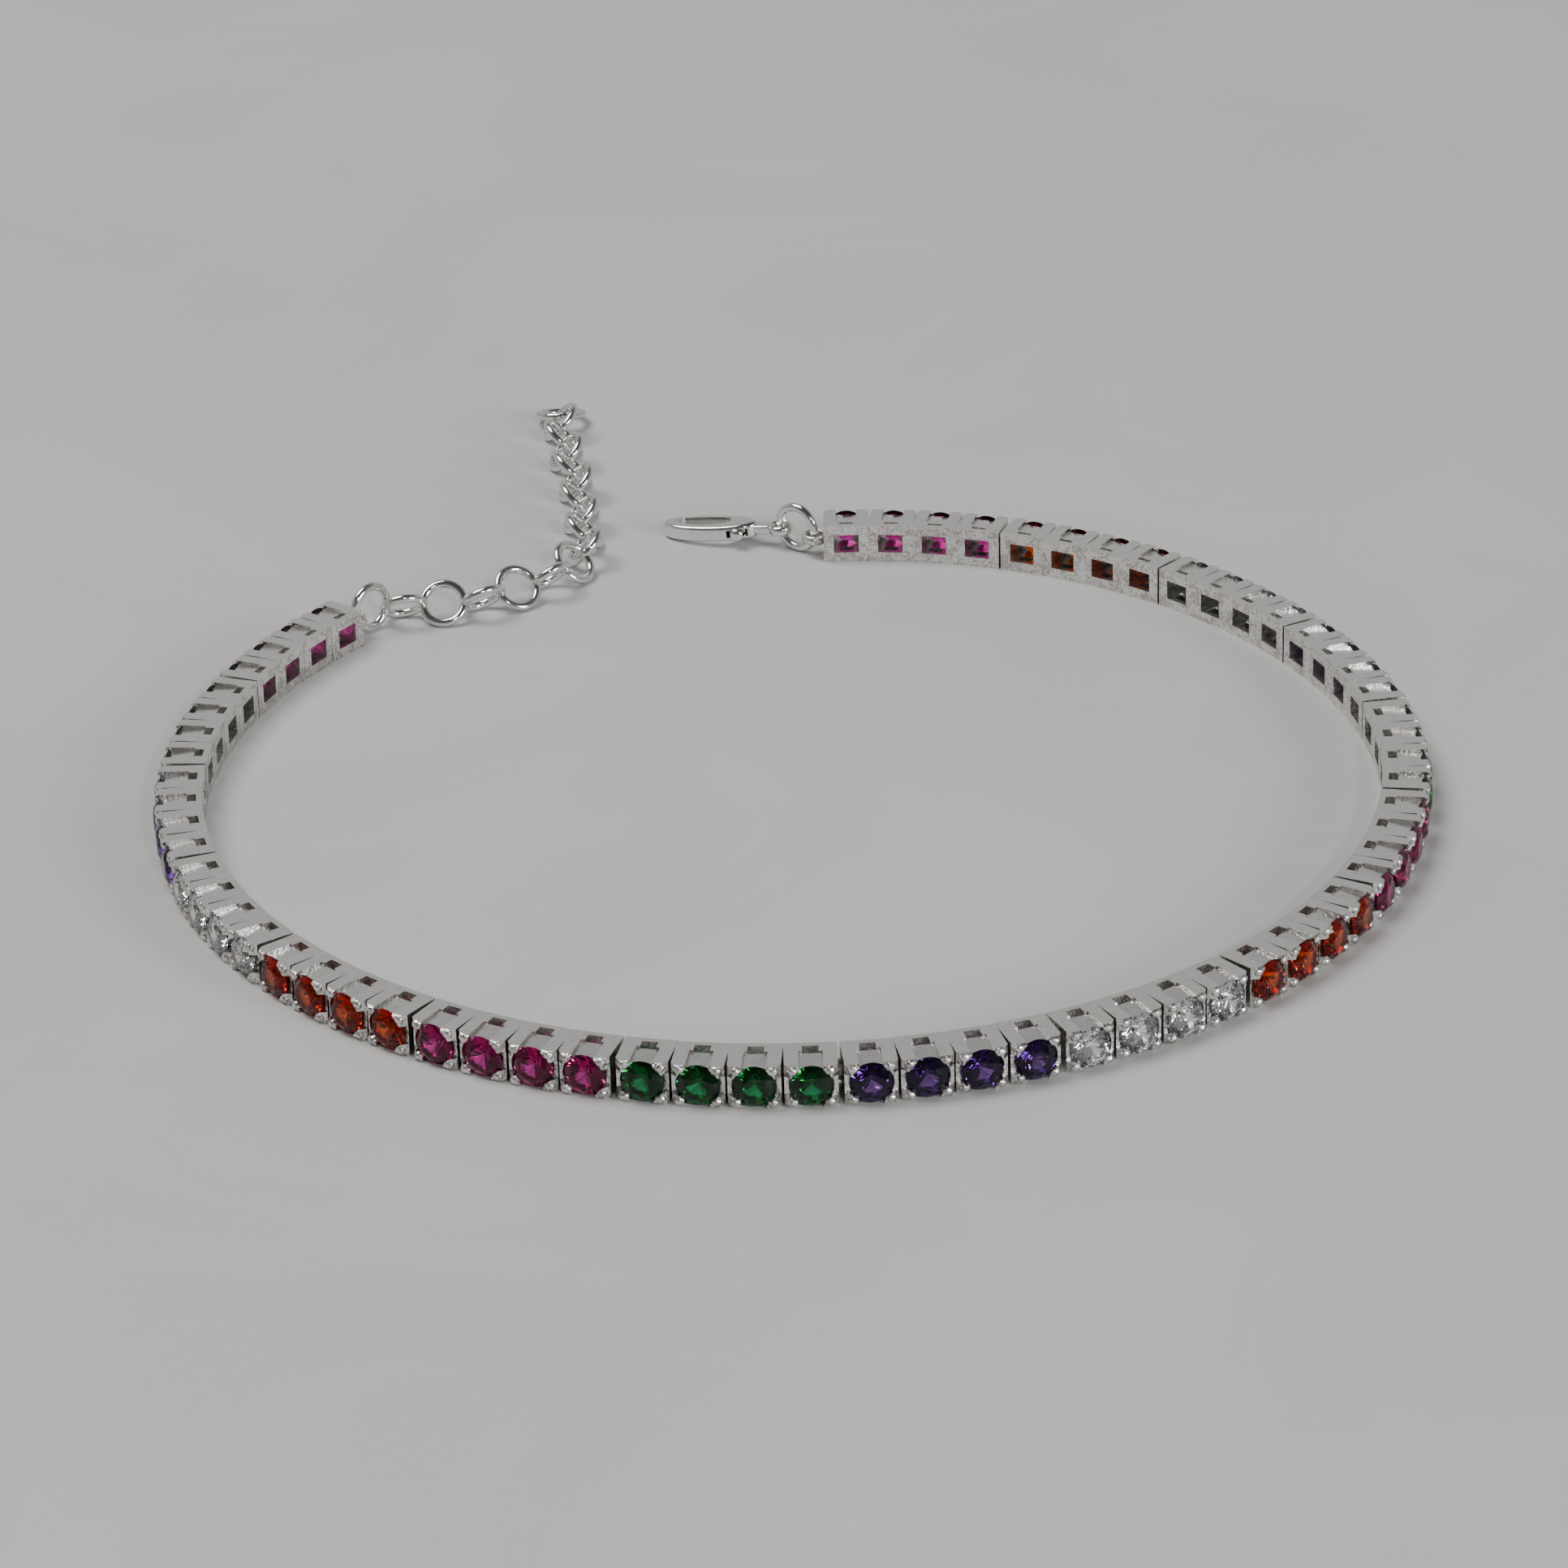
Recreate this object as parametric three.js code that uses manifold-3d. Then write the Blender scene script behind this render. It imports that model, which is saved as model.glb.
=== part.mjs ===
// A line bracelet of square box links, each holding one round brilliant stone, with a lobster clasp
// at one end and an extension chain at the other. It lies open on its edge, stones facing outwards.
// Millimetres, +Z up. The links' lower edges rest on z = 0.
import * as THREE from 'three';
import { mergeVertices } from 'three/addons/utils/BufferGeometryUtils.js';
import Module from 'manifold-3d';

const wasm = await Module();
wasm.setup();

// Driving dimensions of the line of stones
const STONE_COUNT = 64;
const STONE_DIAMETER = 2.0;
const TABLE_DIAMETER = 1.12;
const CROWN_HEIGHT = 0.32;
const PAVILION_DEPTH = 0.86;
const GIRDLE_SIDES = 8;
const SIDE_MARGIN = 0.115; // from the stone's edge to the box's end wall, along the line
const EDGE_MARGIN = 0.02; // from the stone's edge to the box's upper and lower face
const LINK_GAP = 0.22; // between neighbouring boxes, on the line's middle
const GIRDLE_OFFSET = 1.05; // from the line's middle outwards to the stone's girdle
const BACK_OFFSET = 0.95; // from the line's middle inwards to the face against the wrist
const NOTCH_CLEARANCE = 0.05; // between the pavilion and the walls that it drops into
const WINDOW_LENGTH = 1.3;
const WINDOW_HEIGHT = 1.0;
const PRONG_GRIP = 0.09; // how far a prong bites over the stone's edge
const PRONG_RISE = 0.3; // from the girdle to the prong's tip
const PRONG_SHOULDER = 0.1; // from the girdle to where the tip starts to lean in
const PRONG_TAPER = 0.14; // how far a tip's outer sides lean in
const HINGE_DEPTH = 0.5; // of the tab between two boxes, across the line's thickness
const HINGE_HEIGHT = 0.7;
const HINGE_OFFSET = -0.3; // from the line's middle to the tab's middle
const HINGE_ROOT = 0.15; // how far the tab is let into each box
const HALVES_CLEARANCE = 0.05; // between the last tab of one half and the first box of the other

// The line's route as it lies: stones in each stretch and its bend radius, in links
const LINE_ROUTE = [
  { stones: 7, radius: 10.2 },
  { stones: 8, radius: 12.2 },
  { stones: 16, radius: 11.8 },
  { stones: 16, radius: 12.1 },
  { stones: 16, radius: 12.0 },
];
const LINE_HEADING = -1.2; // degrees, of the line's first run

// Driving dimensions of the loops, rings and chain
const END_LOOP_WIDTH = 0.28; // of the metal round an end loop's hole
const END_LOOP_THICKNESS = 0.5;
const LOOP_CLEARANCE = 0.17; // between a ring's wire and the hole that it passes through
const LOOP_ROOT = 0.12; // how far a loop is let into its wall
const LOOP_SIDES = 12;
const RING_DIAMETER = 2.7;
const RING_WIRE = 0.45;
const RING_SIDES = 12;
const LINK_LENGTH = 3.1;
const LINK_WIDTH = 2.6;
const LINK_WIRE = 0.45;
const LINK_END_SIDES = 5; // straight pieces in each round end of a link
const WIRE_SIDES = 5;
const LINK_ROLL = 45; // degrees that each link leans, one way and the other in turn
const LINK_PLAY = 0.08; // between two links that hang in each other
const END_RING_DIAMETER = 2.9;
const END_RING_PITCH = 17; // degrees that the last ring slopes down to the surface

// The chain's route as it lies: how far each piece's run is turned from the line's last run, degrees
const CHAIN_ROUTE = [
  { piece: 'chain_ring', turn: -6 },
  { piece: 'chain_link_01', turn: -40 },
  { piece: 'chain_link_02', turn: -54 },
  { piece: 'chain_link_03', turn: -22 },
  { piece: 'chain_link_04', turn: -18 },
  { piece: 'chain_link_05', turn: -7 },
  { piece: 'chain_link_06', turn: 9 },
  { piece: 'chain_link_07', turn: 37 },
  { piece: 'chain_link_08', turn: 43 },
  { piece: 'chain_link_09', turn: 44 },
  { piece: 'chain_link_10', turn: 41 },
  { piece: 'chain_link_11', turn: 44 },
  { piece: 'chain_link_12', turn: 47 },
  { piece: 'chain_link_13', turn: 47 },
  { piece: 'chain_link_14', turn: 43 },
  { piece: 'chain_link_15', turn: 40 },
  { piece: 'chain_end_ring', turn: 38 },
];
const CLASP_RING_TURN = -36; // degrees from the line's first run to the clasp ring's
const CLASP_TURN = -15; // degrees from the line's first run to the clasp's

// Driving dimensions of the lobster clasp
const CLASP_BODY_LENGTH = 5.2;
const CLASP_WIDTH = 1.9;
const CLASP_THICKNESS = 0.85;
const CLASP_WALL = 0.42;
const HEAD_WALL = 0.6;
const NECK_WIDTH = 0.7;
const NECK_LENGTH = 0.6; // from the eye's rim to the claw
const EYE_THICKNESS = 0.5;
const NECK_ROOT = 0.2; // how far the neck is let into the claw
const CHEEK_THICKNESS = 0.22;
const LEVER_CLEARANCE = 0.05; // between the lever and each cheek
const FORK_CLEARANCE = 0.15; // between the lever's root and the ends of its slot
const PIVOT_INSET = 0.95; // from the claw's root to the pin
const PIN_DIAMETER = 0.28;
const PIN_CLEARANCE = 0.06;
const LEVER_ROOT_DIAMETER = 0.8;
const LEVER_ARM_WIDTH = 0.34;
const GATE_CLEARANCE = 0.15; // between the lever's tip and the hook
const NUB_WIDTH = 0.5;
const NUB_REACH = 0.4; // of the thumb nub beyond the claw
const KNOB_HEIGHT = 0.56; // of the thumb nub's wide end
const KNOB_CLEARANCE = 0.2; // between the claw and that end
const CURVE_STEPS = 16; // straight pieces in half of an oval outline
const MESH_TOLERANCE = 0.003; // the shortest edge that a joined solid keeps
const WELD_DISTANCE = 1e-5; // corners closer than this are one corner
const PAST = 1; // how far a cutting shape runs past what it cuts

// Sizes that follow
const STONE_RADIUS = STONE_DIAMETER / 2;
const BOX_LENGTH = STONE_DIAMETER + 2 * SIDE_MARGIN;
const BOX_HEIGHT = STONE_DIAMETER + 2 * EDGE_MARGIN;
const PITCH = BOX_LENGTH + LINK_GAP;
const NOTCH_FLOOR = notchFloor();
const LOOP_HOLE_RADIUS = RING_WIRE / 2 + LOOP_CLEARANCE;
const LOOP_RADIUS = LOOP_HOLE_RADIUS + END_LOOP_WIDTH;
const LOOP_REACH = LOOP_RADIUS - LOOP_ROOT;
const RING_MID_RADIUS = (RING_DIAMETER - RING_WIRE) / 2;
const LINE_MIDDLE = BOX_HEIGHT / 2;

const SILVER = new THREE.MeshStandardMaterial({ color: 0xd9dadc, metalness: 1, roughness: 0.2 });
const BRIGHT_SILVER = new THREE.MeshStandardMaterial({ color: 0xe4e5e7, metalness: 1, roughness: 0.12 });

// The height of the notch floor: the pavilion is narrower than the window there
function notchFloor() {
  const flat = Math.cos(Math.PI / GIRDLE_SIDES);
  const roomiest = Math.min(WINDOW_LENGTH, WINDOW_HEIGHT) / 2 - NOTCH_CLEARANCE;
  const share = roomiest / (STONE_RADIUS * flat);
  return GIRDLE_OFFSET - PAVILION_DEPTH * (1 - share);
}

function degrees(angle) {
  return THREE.MathUtils.degToRad(angle);
}

// Solids for joining and cutting
function toSolid(geometry) {
  const bare = geometry.clone();
  bare.deleteAttribute('normal');
  bare.deleteAttribute('uv');
  const merged = mergeVertices(bare, WELD_DISTANCE);
  return new wasm.Manifold(new wasm.Mesh({
    numProp: 3,
    vertProperties: new Float32Array(merged.attributes.position.array),
    triVerts: new Uint32Array(merged.index.array),
  }));
}

function toGeometry(solid) {
  const mesh = solid.asOriginal().simplify(MESH_TOLERANCE).getMesh();
  const geometry = new THREE.BufferGeometry();
  geometry.setAttribute('position', new THREE.BufferAttribute(new Float32Array(mesh.vertProperties), 3));
  geometry.setIndex(new THREE.BufferAttribute(new Uint32Array(mesh.triVerts), 1));
  geometry.computeVertexNormals();
  return geometry;
}

// A block given by its lowest and highest corners
function block(low, high) {
  const size = high.map((value, axis) => value - low[axis]);
  const geometry = new THREE.BoxGeometry(...size);
  geometry.translate(...low.map((value, axis) => value + size[axis] / 2));
  return geometry;
}

// An outline in the XY plane, raised from one height to another, with round holes if given
function raised(points, low, high, holes = []) {
  const shape = new THREE.Shape(points);
  shape.holes = holes.map((rim) => new THREE.Path(rim));
  const geometry = new THREE.ExtrudeGeometry(shape, { depth: high - low, bevelEnabled: false });
  geometry.translate(0, 0, low);
  return geometry;
}

function circlePoints(radius, sides, x = 0, y = 0) {
  const points = [];
  for (let i = 0; i < sides; i += 1) {
    const angle = (2 * Math.PI * (i + 0.5)) / sides;
    points.push(new THREE.Vector2(x + radius * Math.cos(angle), y + radius * Math.sin(angle)));
  }
  return points;
}

// A closed mesh through rings of points with equal counts, capped at both ends
function lofted(rings) {
  const count = rings[0].length;
  const positions = rings.flat().flatMap((point) => point.toArray());
  const index = [];
  for (let r = 0; r + 1 < rings.length; r += 1) {
    for (let i = 0; i < count; i += 1) {
      const a = r * count + i;
      const b = r * count + ((i + 1) % count);
      index.push(a, b, b + count, a, b + count, a + count);
    }
  }
  const last = (rings.length - 1) * count;
  for (let i = 1; i + 1 < count; i += 1) {
    index.push(0, i + 1, i);
    index.push(last, last + i, last + i + 1);
  }
  const geometry = new THREE.BufferGeometry();
  geometry.setAttribute('position', new THREE.Float32BufferAttribute(positions, 3));
  geometry.setIndex(index);
  return geometry;
}

// The round brilliant, simplified to a table, an eight-sided crown and an eight-sided pavilion.
// In a link's own frame X runs along the line, Y outwards and Z up.
function brilliant() {
  const girdle = [];
  const table = [];
  for (let i = 0; i < GIRDLE_SIDES; i += 1) {
    const edge = (2 * Math.PI * (i + 0.5)) / GIRDLE_SIDES;
    girdle.push([STONE_RADIUS * Math.cos(edge), GIRDLE_OFFSET, -STONE_RADIUS * Math.sin(edge)]);
    const half = TABLE_DIAMETER / 2;
    const turned = (2 * Math.PI * (i + 1)) / GIRDLE_SIDES;
    table.push([half * Math.cos(turned), GIRDLE_OFFSET + CROWN_HEIGHT, -half * Math.sin(turned)]);
  }
  const culet = [0, GIRDLE_OFFSET - PAVILION_DEPTH, 0];
  const index = [];
  const tip = 2 * GIRDLE_SIDES;
  for (let i = 0; i < GIRDLE_SIDES; i += 1) {
    const next = (i + 1) % GIRDLE_SIDES;
    index.push(i, next, GIRDLE_SIDES + i);
    index.push(next, GIRDLE_SIDES + next, GIRDLE_SIDES + i);
    index.push(next, i, tip);
    if (i > 0 && next > 0) {
      index.push(GIRDLE_SIDES, GIRDLE_SIDES + i, GIRDLE_SIDES + next);
    }
  }
  const geometry = new THREE.BufferGeometry();
  const positions = [...girdle, ...table, culet].flat();
  geometry.setAttribute('position', new THREE.Float32BufferAttribute(positions, 3));
  geometry.setIndex(index);
  return geometry;
}

// A rectangle across a link at a height outwards, its sides drawn in by the taper
function linkSection(height, taper) {
  const x = BOX_LENGTH / 2 - taper;
  const z = BOX_HEIGHT / 2 - taper;
  const corners = [[-x, -z], [-x, z], [x, z], [x, -z]];
  return corners.map((corner) => new THREE.Vector3(corner[0], height, corner[1]));
}

// The box and its four prongs in one: slots along and across leave a prong at each corner
function setting() {
  const tip = GIRDLE_OFFSET + PRONG_RISE;
  const outside = lofted([
    linkSection(-BACK_OFFSET, 0),
    linkSection(GIRDLE_OFFSET + PRONG_SHOULDER, 0),
    linkSection(tip, PRONG_TAPER),
  ]);
  const reach = (STONE_RADIUS * Math.cos(Math.PI / GIRDLE_SIDES) - PRONG_GRIP) / Math.SQRT2;
  const along = block([-BOX_LENGTH, NOTCH_FLOOR, -reach], [BOX_LENGTH, tip + PAST, reach]);
  const across = block([-reach, NOTCH_FLOOR, -BOX_HEIGHT], [reach, tip + PAST, BOX_HEIGHT]);
  const window = block(
    [-WINDOW_LENGTH / 2, -BACK_OFFSET - PAST, -WINDOW_HEIGHT / 2],
    [WINDOW_LENGTH / 2, NOTCH_FLOOR + PAST, WINDOW_HEIGHT / 2],
  );
  return toSolid(outside).subtract(toSolid(along).add(toSolid(across)).add(toSolid(window)));
}

// One link: a box with a window through its back, four prongs and the stone that they hold
function stoneLink() {
  return setting().add(toSolid(brilliant()));
}

// The tab that joins a link to the next one; the last tab of a half stops short of the other half
function hingeTab(reach) {
  const start = BOX_LENGTH / 2 - HINGE_ROOT;
  return toSolid(block(
    [start, HINGE_OFFSET - HINGE_DEPTH / 2, -HINGE_HEIGHT / 2],
    [BOX_LENGTH / 2 + reach, HINGE_OFFSET + HINGE_DEPTH / 2, HINGE_HEIGHT / 2],
  ));
}

// A flat loop that stands out of an end wall, its hole upright; side is 1 or -1 along the line
function endLoop(side) {
  const middle = side * (BOX_LENGTH / 2 + LOOP_REACH);
  const rim = circlePoints(LOOP_RADIUS, LOOP_SIDES, middle);
  const hole = circlePoints(LOOP_HOLE_RADIUS, LOOP_SIDES, middle);
  const half = END_LOOP_THICKNESS / 2;
  return toSolid(raised(rim, -half, half, [hole]));
}

// Where each stone stands: its middle and the direction of the line there
function linePlaces() {
  const bends = LINE_ROUTE.flatMap(({ stones, radius }) => Array(stones).fill(-1 / radius));
  const places = [{ x: 0, y: 0, heading: degrees(LINE_HEADING) }];
  for (let i = 1; i < STONE_COUNT; i += 1) {
    const last = places[i - 1];
    const bend = bends[Math.min(i - 1, bends.length - 1)];
    const middle = last.heading + bend / 2;
    places.push({
      x: last.x + PITCH * Math.cos(middle),
      y: last.y + PITCH * Math.sin(middle),
      heading: last.heading + bend,
    });
  }
  return places;
}

function placed(solid, place) {
  const matrix = new THREE.Matrix4().makeRotationZ(place.heading);
  matrix.setPosition(place.x, place.y, LINE_MIDDLE);
  return solid.transform(matrix.elements);
}

function lineHalf(name, places, isFirst) {
  const link = stoneLink();
  let solid = null;
  places.forEach((place, i) => {
    const isLast = i === places.length - 1;
    let piece = link;
    if (!isLast) {
      piece = piece.add(hingeTab(LINK_GAP + HINGE_ROOT));
    } else if (isFirst) {
      piece = piece.add(hingeTab(LINK_GAP - HALVES_CLEARANCE));
    } else {
      piece = piece.add(endLoop(1));
    }
    if (isFirst && i === 0) {
      piece = piece.add(endLoop(-1));
    }
    const part = placed(piece, place);
    solid = solid === null ? part : solid.add(part);
  });
  const mesh = new THREE.Mesh(toGeometry(solid), SILVER);
  mesh.name = name;
  return mesh;
}

// A ring or long link of round wire in its own XY plane, its length along X
function wireLink(length, width, wire, endSides) {
  const end = (width - wire) / 2;
  const straight = (length - width) / 2;
  const middles = [];
  for (const side of [1, -1]) {
    for (let i = 0; i <= endSides; i += 1) {
      const angle = -Math.PI / 2 + (Math.PI * i) / endSides;
      const x = side * (straight + end * Math.cos(angle));
      const y = side * end * Math.sin(angle);
      const isRepeated = straight === 0 && i === endSides;
      if (!isRepeated) {
        middles.push({ x, y, angle: angle + (side > 0 ? 0 : Math.PI) });
      }
    }
  }
  const positions = [];
  for (const { x, y, angle } of middles) {
    for (let k = 0; k < WIRE_SIDES; k += 1) {
      const around = (2 * Math.PI * k) / WIRE_SIDES;
      const out = (wire / 2) * Math.cos(around);
      const up = (wire / 2) * Math.sin(around);
      positions.push(x + out * Math.cos(angle), y + out * Math.sin(angle), up);
    }
  }
  const index = [];
  for (let i = 0; i < middles.length; i += 1) {
    for (let k = 0; k < WIRE_SIDES; k += 1) {
      const next = ((i + 1) % middles.length) * WIRE_SIDES;
      const a = i * WIRE_SIDES + k;
      const b = i * WIRE_SIDES + ((k + 1) % WIRE_SIDES);
      const c = next + ((k + 1) % WIRE_SIDES);
      const d = next + k;
      index.push(a, d, c, a, c, b);
    }
  }
  const geometry = new THREE.BufferGeometry();
  geometry.setAttribute('position', new THREE.Float32BufferAttribute(positions, 3));
  geometry.setIndex(index);
  geometry.computeVertexNormals();
  return geometry;
}

// A ring's reach to where it passes through a loop at the line's middle height
function ringReach() {
  const drop = RING_DIAMETER / 2 - LINE_MIDDLE;
  return Math.sqrt(RING_MID_RADIUS ** 2 - drop ** 2);
}

function uprightRing(name) {
  const geometry = wireLink(RING_DIAMETER, RING_DIAMETER, RING_WIRE, RING_SIDES / 2);
  const ring = new THREE.Mesh(geometry, BRIGHT_SILVER);
  ring.name = name;
  ring.rotation.x = Math.PI / 2;
  ring.position.z = RING_DIAMETER / 2;
  return ring;
}

function chainLink(name, lean) {
  const geometry = wireLink(LINK_LENGTH, LINK_WIDTH, LINK_WIRE, LINK_END_SIDES);
  const link = new THREE.Mesh(geometry, BRIGHT_SILVER);
  link.name = name;
  link.rotation.x = degrees(lean);
  link.position.z = linkMiddleHeight();
  return link;
}

function linkMiddleHeight() {
  return ((LINK_WIDTH - LINK_WIRE) / 2) * Math.sin(degrees(LINK_ROLL)) + LINK_WIRE / 2;
}

function endRing(name) {
  const geometry = wireLink(END_RING_DIAMETER, END_RING_DIAMETER, LINK_WIRE, RING_SIDES / 2);
  const ring = new THREE.Mesh(geometry, BRIGHT_SILVER);
  ring.name = name;
  const middle = (END_RING_DIAMETER - LINK_WIRE) / 2;
  ring.rotation.y = degrees(END_RING_PITCH);
  ring.position.z = middle * Math.sin(degrees(END_RING_PITCH)) + LINK_WIRE / 2;
  return ring;
}

// Half of a piece's length along the chain, measured on the middle of its wire
function chainPiece(name, number) {
  if (name === 'chain_ring') {
    return { mesh: uprightRing(name), reach: RING_MID_RADIUS, wire: RING_WIRE };
  }
  if (name === 'chain_end_ring') {
    return { mesh: endRing(name), reach: (END_RING_DIAMETER - LINK_WIRE) / 2, wire: LINK_WIRE };
  }
  const lean = number % 2 === 0 ? LINK_ROLL : -LINK_ROLL;
  return { mesh: chainLink(name, lean), reach: (LINK_LENGTH - LINK_WIRE) / 2, wire: LINK_WIRE };
}

function chain(lastPlace) {
  const group = new THREE.Group();
  const pieces = CHAIN_ROUTE.map(({ piece, turn }, i) => ({ ...chainPiece(piece, i), turn }));
  const loop = BOX_LENGTH / 2 + LOOP_REACH;
  let x = lastPlace.x + loop * Math.cos(lastPlace.heading);
  let y = lastPlace.y + loop * Math.sin(lastPlace.heading);
  pieces.forEach(({ mesh, reach, wire, turn }, i) => {
    const heading = lastPlace.heading + degrees(turn);
    const before = i === 0 ? ringReach() : reach - (wire + LINK_PLAY) / 2;
    const after = reach - (wire + LINK_PLAY) / 2;
    x += before * Math.cos(heading);
    y += before * Math.sin(heading);
    const holder = new THREE.Group();
    holder.add(mesh);
    holder.rotation.z = heading;
    holder.position.set(x, y, 0);
    group.add(holder);
    x += after * Math.cos(heading);
    y += after * Math.sin(heading);
  });
  return group;
}

// The clasp in its own frame: X from the eye's middle towards the hook's head, Z up
const EYE_RADIUS = LOOP_RADIUS;
const CLAW_START = EYE_RADIUS + NECK_LENGTH;
const CLAW_MIDDLE = CLAW_START + CLASP_BODY_LENGTH / 2;
const PIVOT_X = CLAW_START + PIVOT_INSET;
const SLOT_HEIGHT = CLASP_THICKNESS - 2 * CHEEK_THICKNESS;
const FORK_START = PIVOT_X - LEVER_ROOT_DIAMETER / 2 - FORK_CLEARANCE;
const FORK_END = PIVOT_X + LEVER_ROOT_DIAMETER / 2 + FORK_CLEARANCE;
const CLAW_END = CLAW_START + CLASP_BODY_LENGTH;
const WINDOW_END = CLAW_END - HEAD_WALL;
const HOOK_FACE = WINDOW_END - HEAD_WALL / 2;

// Half of the claw's width, at a place along its length; inset leaves that much metal outside
function clawHalfWidth(x, inset = 0) {
  const share = (x - CLAW_MIDDLE) / (CLASP_BODY_LENGTH / 2);
  return (CLASP_WIDTH / 2) * Math.sqrt(Math.max(0, 1 - share * share)) - inset;
}

function oval(start, end, halfWidth) {
  const points = [];
  for (let i = 0; i < 2 * CURVE_STEPS; i += 1) {
    const angle = (Math.PI * (i + 0.5)) / CURVE_STEPS;
    const x = (start + end) / 2 + ((end - start) / 2) * Math.cos(angle);
    points.push(new THREE.Vector2(x, halfWidth * Math.sin(angle)));
  }
  return points;
}

// An outline cut right through the clasp's thickness
function throughCut(points) {
  return toSolid(raised(points, -CLASP_THICKNESS, CLASP_THICKNESS));
}

// A flat slab of the clasp, half of it above its middle
function slab(points, half, holes = []) {
  return toSolid(raised(points, -half, half, holes));
}

function claspBody() {
  const slotHalf = SLOT_HEIGHT / 2;
  const eyeHalf = EYE_THICKNESS / 2;
  const inside = oval(FORK_END, WINDOW_END, CLASP_WIDTH / 2 - CLASP_WALL);
  const gate = block([FORK_END, -CLASP_WIDTH, -CLASP_THICKNESS], [HOOK_FACE, 0, CLASP_THICKNESS]);
  const slot = block([FORK_START, -CLASP_WIDTH, -slotHalf], [FORK_END, CLASP_WIDTH, slotHalf]);
  const neck = block(
    [LOOP_HOLE_RADIUS + LOOP_ROOT, -NECK_WIDTH / 2, -eyeHalf],
    [CLAW_START + NECK_ROOT, NECK_WIDTH / 2, eyeHalf],
  );
  const eyeHole = circlePoints(LOOP_HOLE_RADIUS, LOOP_SIDES);
  const eye = slab(circlePoints(EYE_RADIUS, LOOP_SIDES), eyeHalf, [eyeHole]);
  const pin = slab(circlePoints(PIN_DIAMETER / 2, LOOP_SIDES, PIVOT_X), slotHalf + LEVER_CLEARANCE);
  const claw = slab(oval(CLAW_START, CLAW_END, CLASP_WIDTH / 2), CLASP_THICKNESS / 2);
  const cutClaw = claw.subtract(throughCut(inside)).subtract(toSolid(gate)).subtract(toSolid(slot));
  const solid = cutClaw.add(pin).add(toSolid(neck)).add(eye);
  const mesh = new THREE.Mesh(toGeometry(solid), BRIGHT_SILVER);
  mesh.name = 'clasp_body';
  return mesh;
}

// The lever's arm follows the claw's outline along its open side, up to the hook
function leverArm(start, end) {
  const outer = [];
  const inner = [];
  const steps = CURVE_STEPS / 2;
  for (let i = 0; i <= steps; i += 1) {
    const x = start + ((end - start) * i) / steps;
    const lean = i === steps ? LEVER_ARM_WIDTH / 2 : 0;
    outer.push(new THREE.Vector2(x - lean, -clawHalfWidth(x)));
    inner.unshift(new THREE.Vector2(x, -clawHalfWidth(x, LEVER_ARM_WIDTH)));
  }
  return [...outer, ...inner];
}

// The web between the lever's root and the start of its arm
function leverWeb(end) {
  const radius = LEVER_ROOT_DIAMETER / 2;
  return [
    new THREE.Vector2(PIVOT_X - radius / 2, -radius / 2),
    new THREE.Vector2(PIVOT_X + radius / 4, -clawHalfWidth(PIVOT_X)),
    new THREE.Vector2(end, -clawHalfWidth(end)),
    new THREE.Vector2(end, -clawHalfWidth(end, LEVER_ARM_WIDTH)),
    new THREE.Vector2(PIVOT_X + radius, -radius / 4),
    new THREE.Vector2(PIVOT_X, 0),
  ];
}

// The lever: a root on the pin, an arm along the open side and a thumb nub on the other side
function claspLever() {
  const leafHalf = SLOT_HEIGHT / 2 - LEVER_CLEARANCE;
  const armStart = FORK_END + LEVER_CLEARANCE;
  const arm = leverArm(armStart, HOOK_FACE - GATE_CLEARANCE);
  const nubEnd = clawHalfWidth(PIVOT_X) + NUB_REACH;
  const nubLow = PIVOT_X - NUB_WIDTH / 2;
  const nubHigh = PIVOT_X + NUB_WIDTH / 2;
  const knobStart = clawHalfWidth(PIVOT_X) + KNOB_CLEARANCE;
  const nub = block([nubLow, 0, -leafHalf], [nubHigh, nubEnd, leafHalf]);
  const knob = block([nubLow, knobStart, -KNOB_HEIGHT / 2], [nubHigh, nubEnd, KNOB_HEIGHT / 2]);
  const bore = circlePoints(PIN_DIAMETER / 2 + PIN_CLEARANCE, LOOP_SIDES, PIVOT_X);
  const solid = slab(arm, CLASP_THICKNESS / 2 - LEVER_CLEARANCE)
    .add(slab(leverWeb(armStart + LEVER_ARM_WIDTH), leafHalf))
    .add(slab(circlePoints(LEVER_ROOT_DIAMETER / 2, LOOP_SIDES, PIVOT_X), leafHalf))
    .add(toSolid(nub))
    .add(toSolid(knob))
    .subtract(throughCut(bore));
  const mesh = new THREE.Mesh(toGeometry(solid), BRIGHT_SILVER);
  mesh.name = 'clasp_lever';
  return mesh;
}

// The clasp lies with its head on the surface and its eye raised to the ring
function clasp() {
  const group = new THREE.Group();
  group.add(claspBody(), claspLever());
  const drop = LINE_MIDDLE - CLASP_THICKNESS / 2;
  group.rotation.y = Math.asin(drop / CLAW_END);
  group.position.z = LINE_MIDDLE;
  return group;
}

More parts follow.
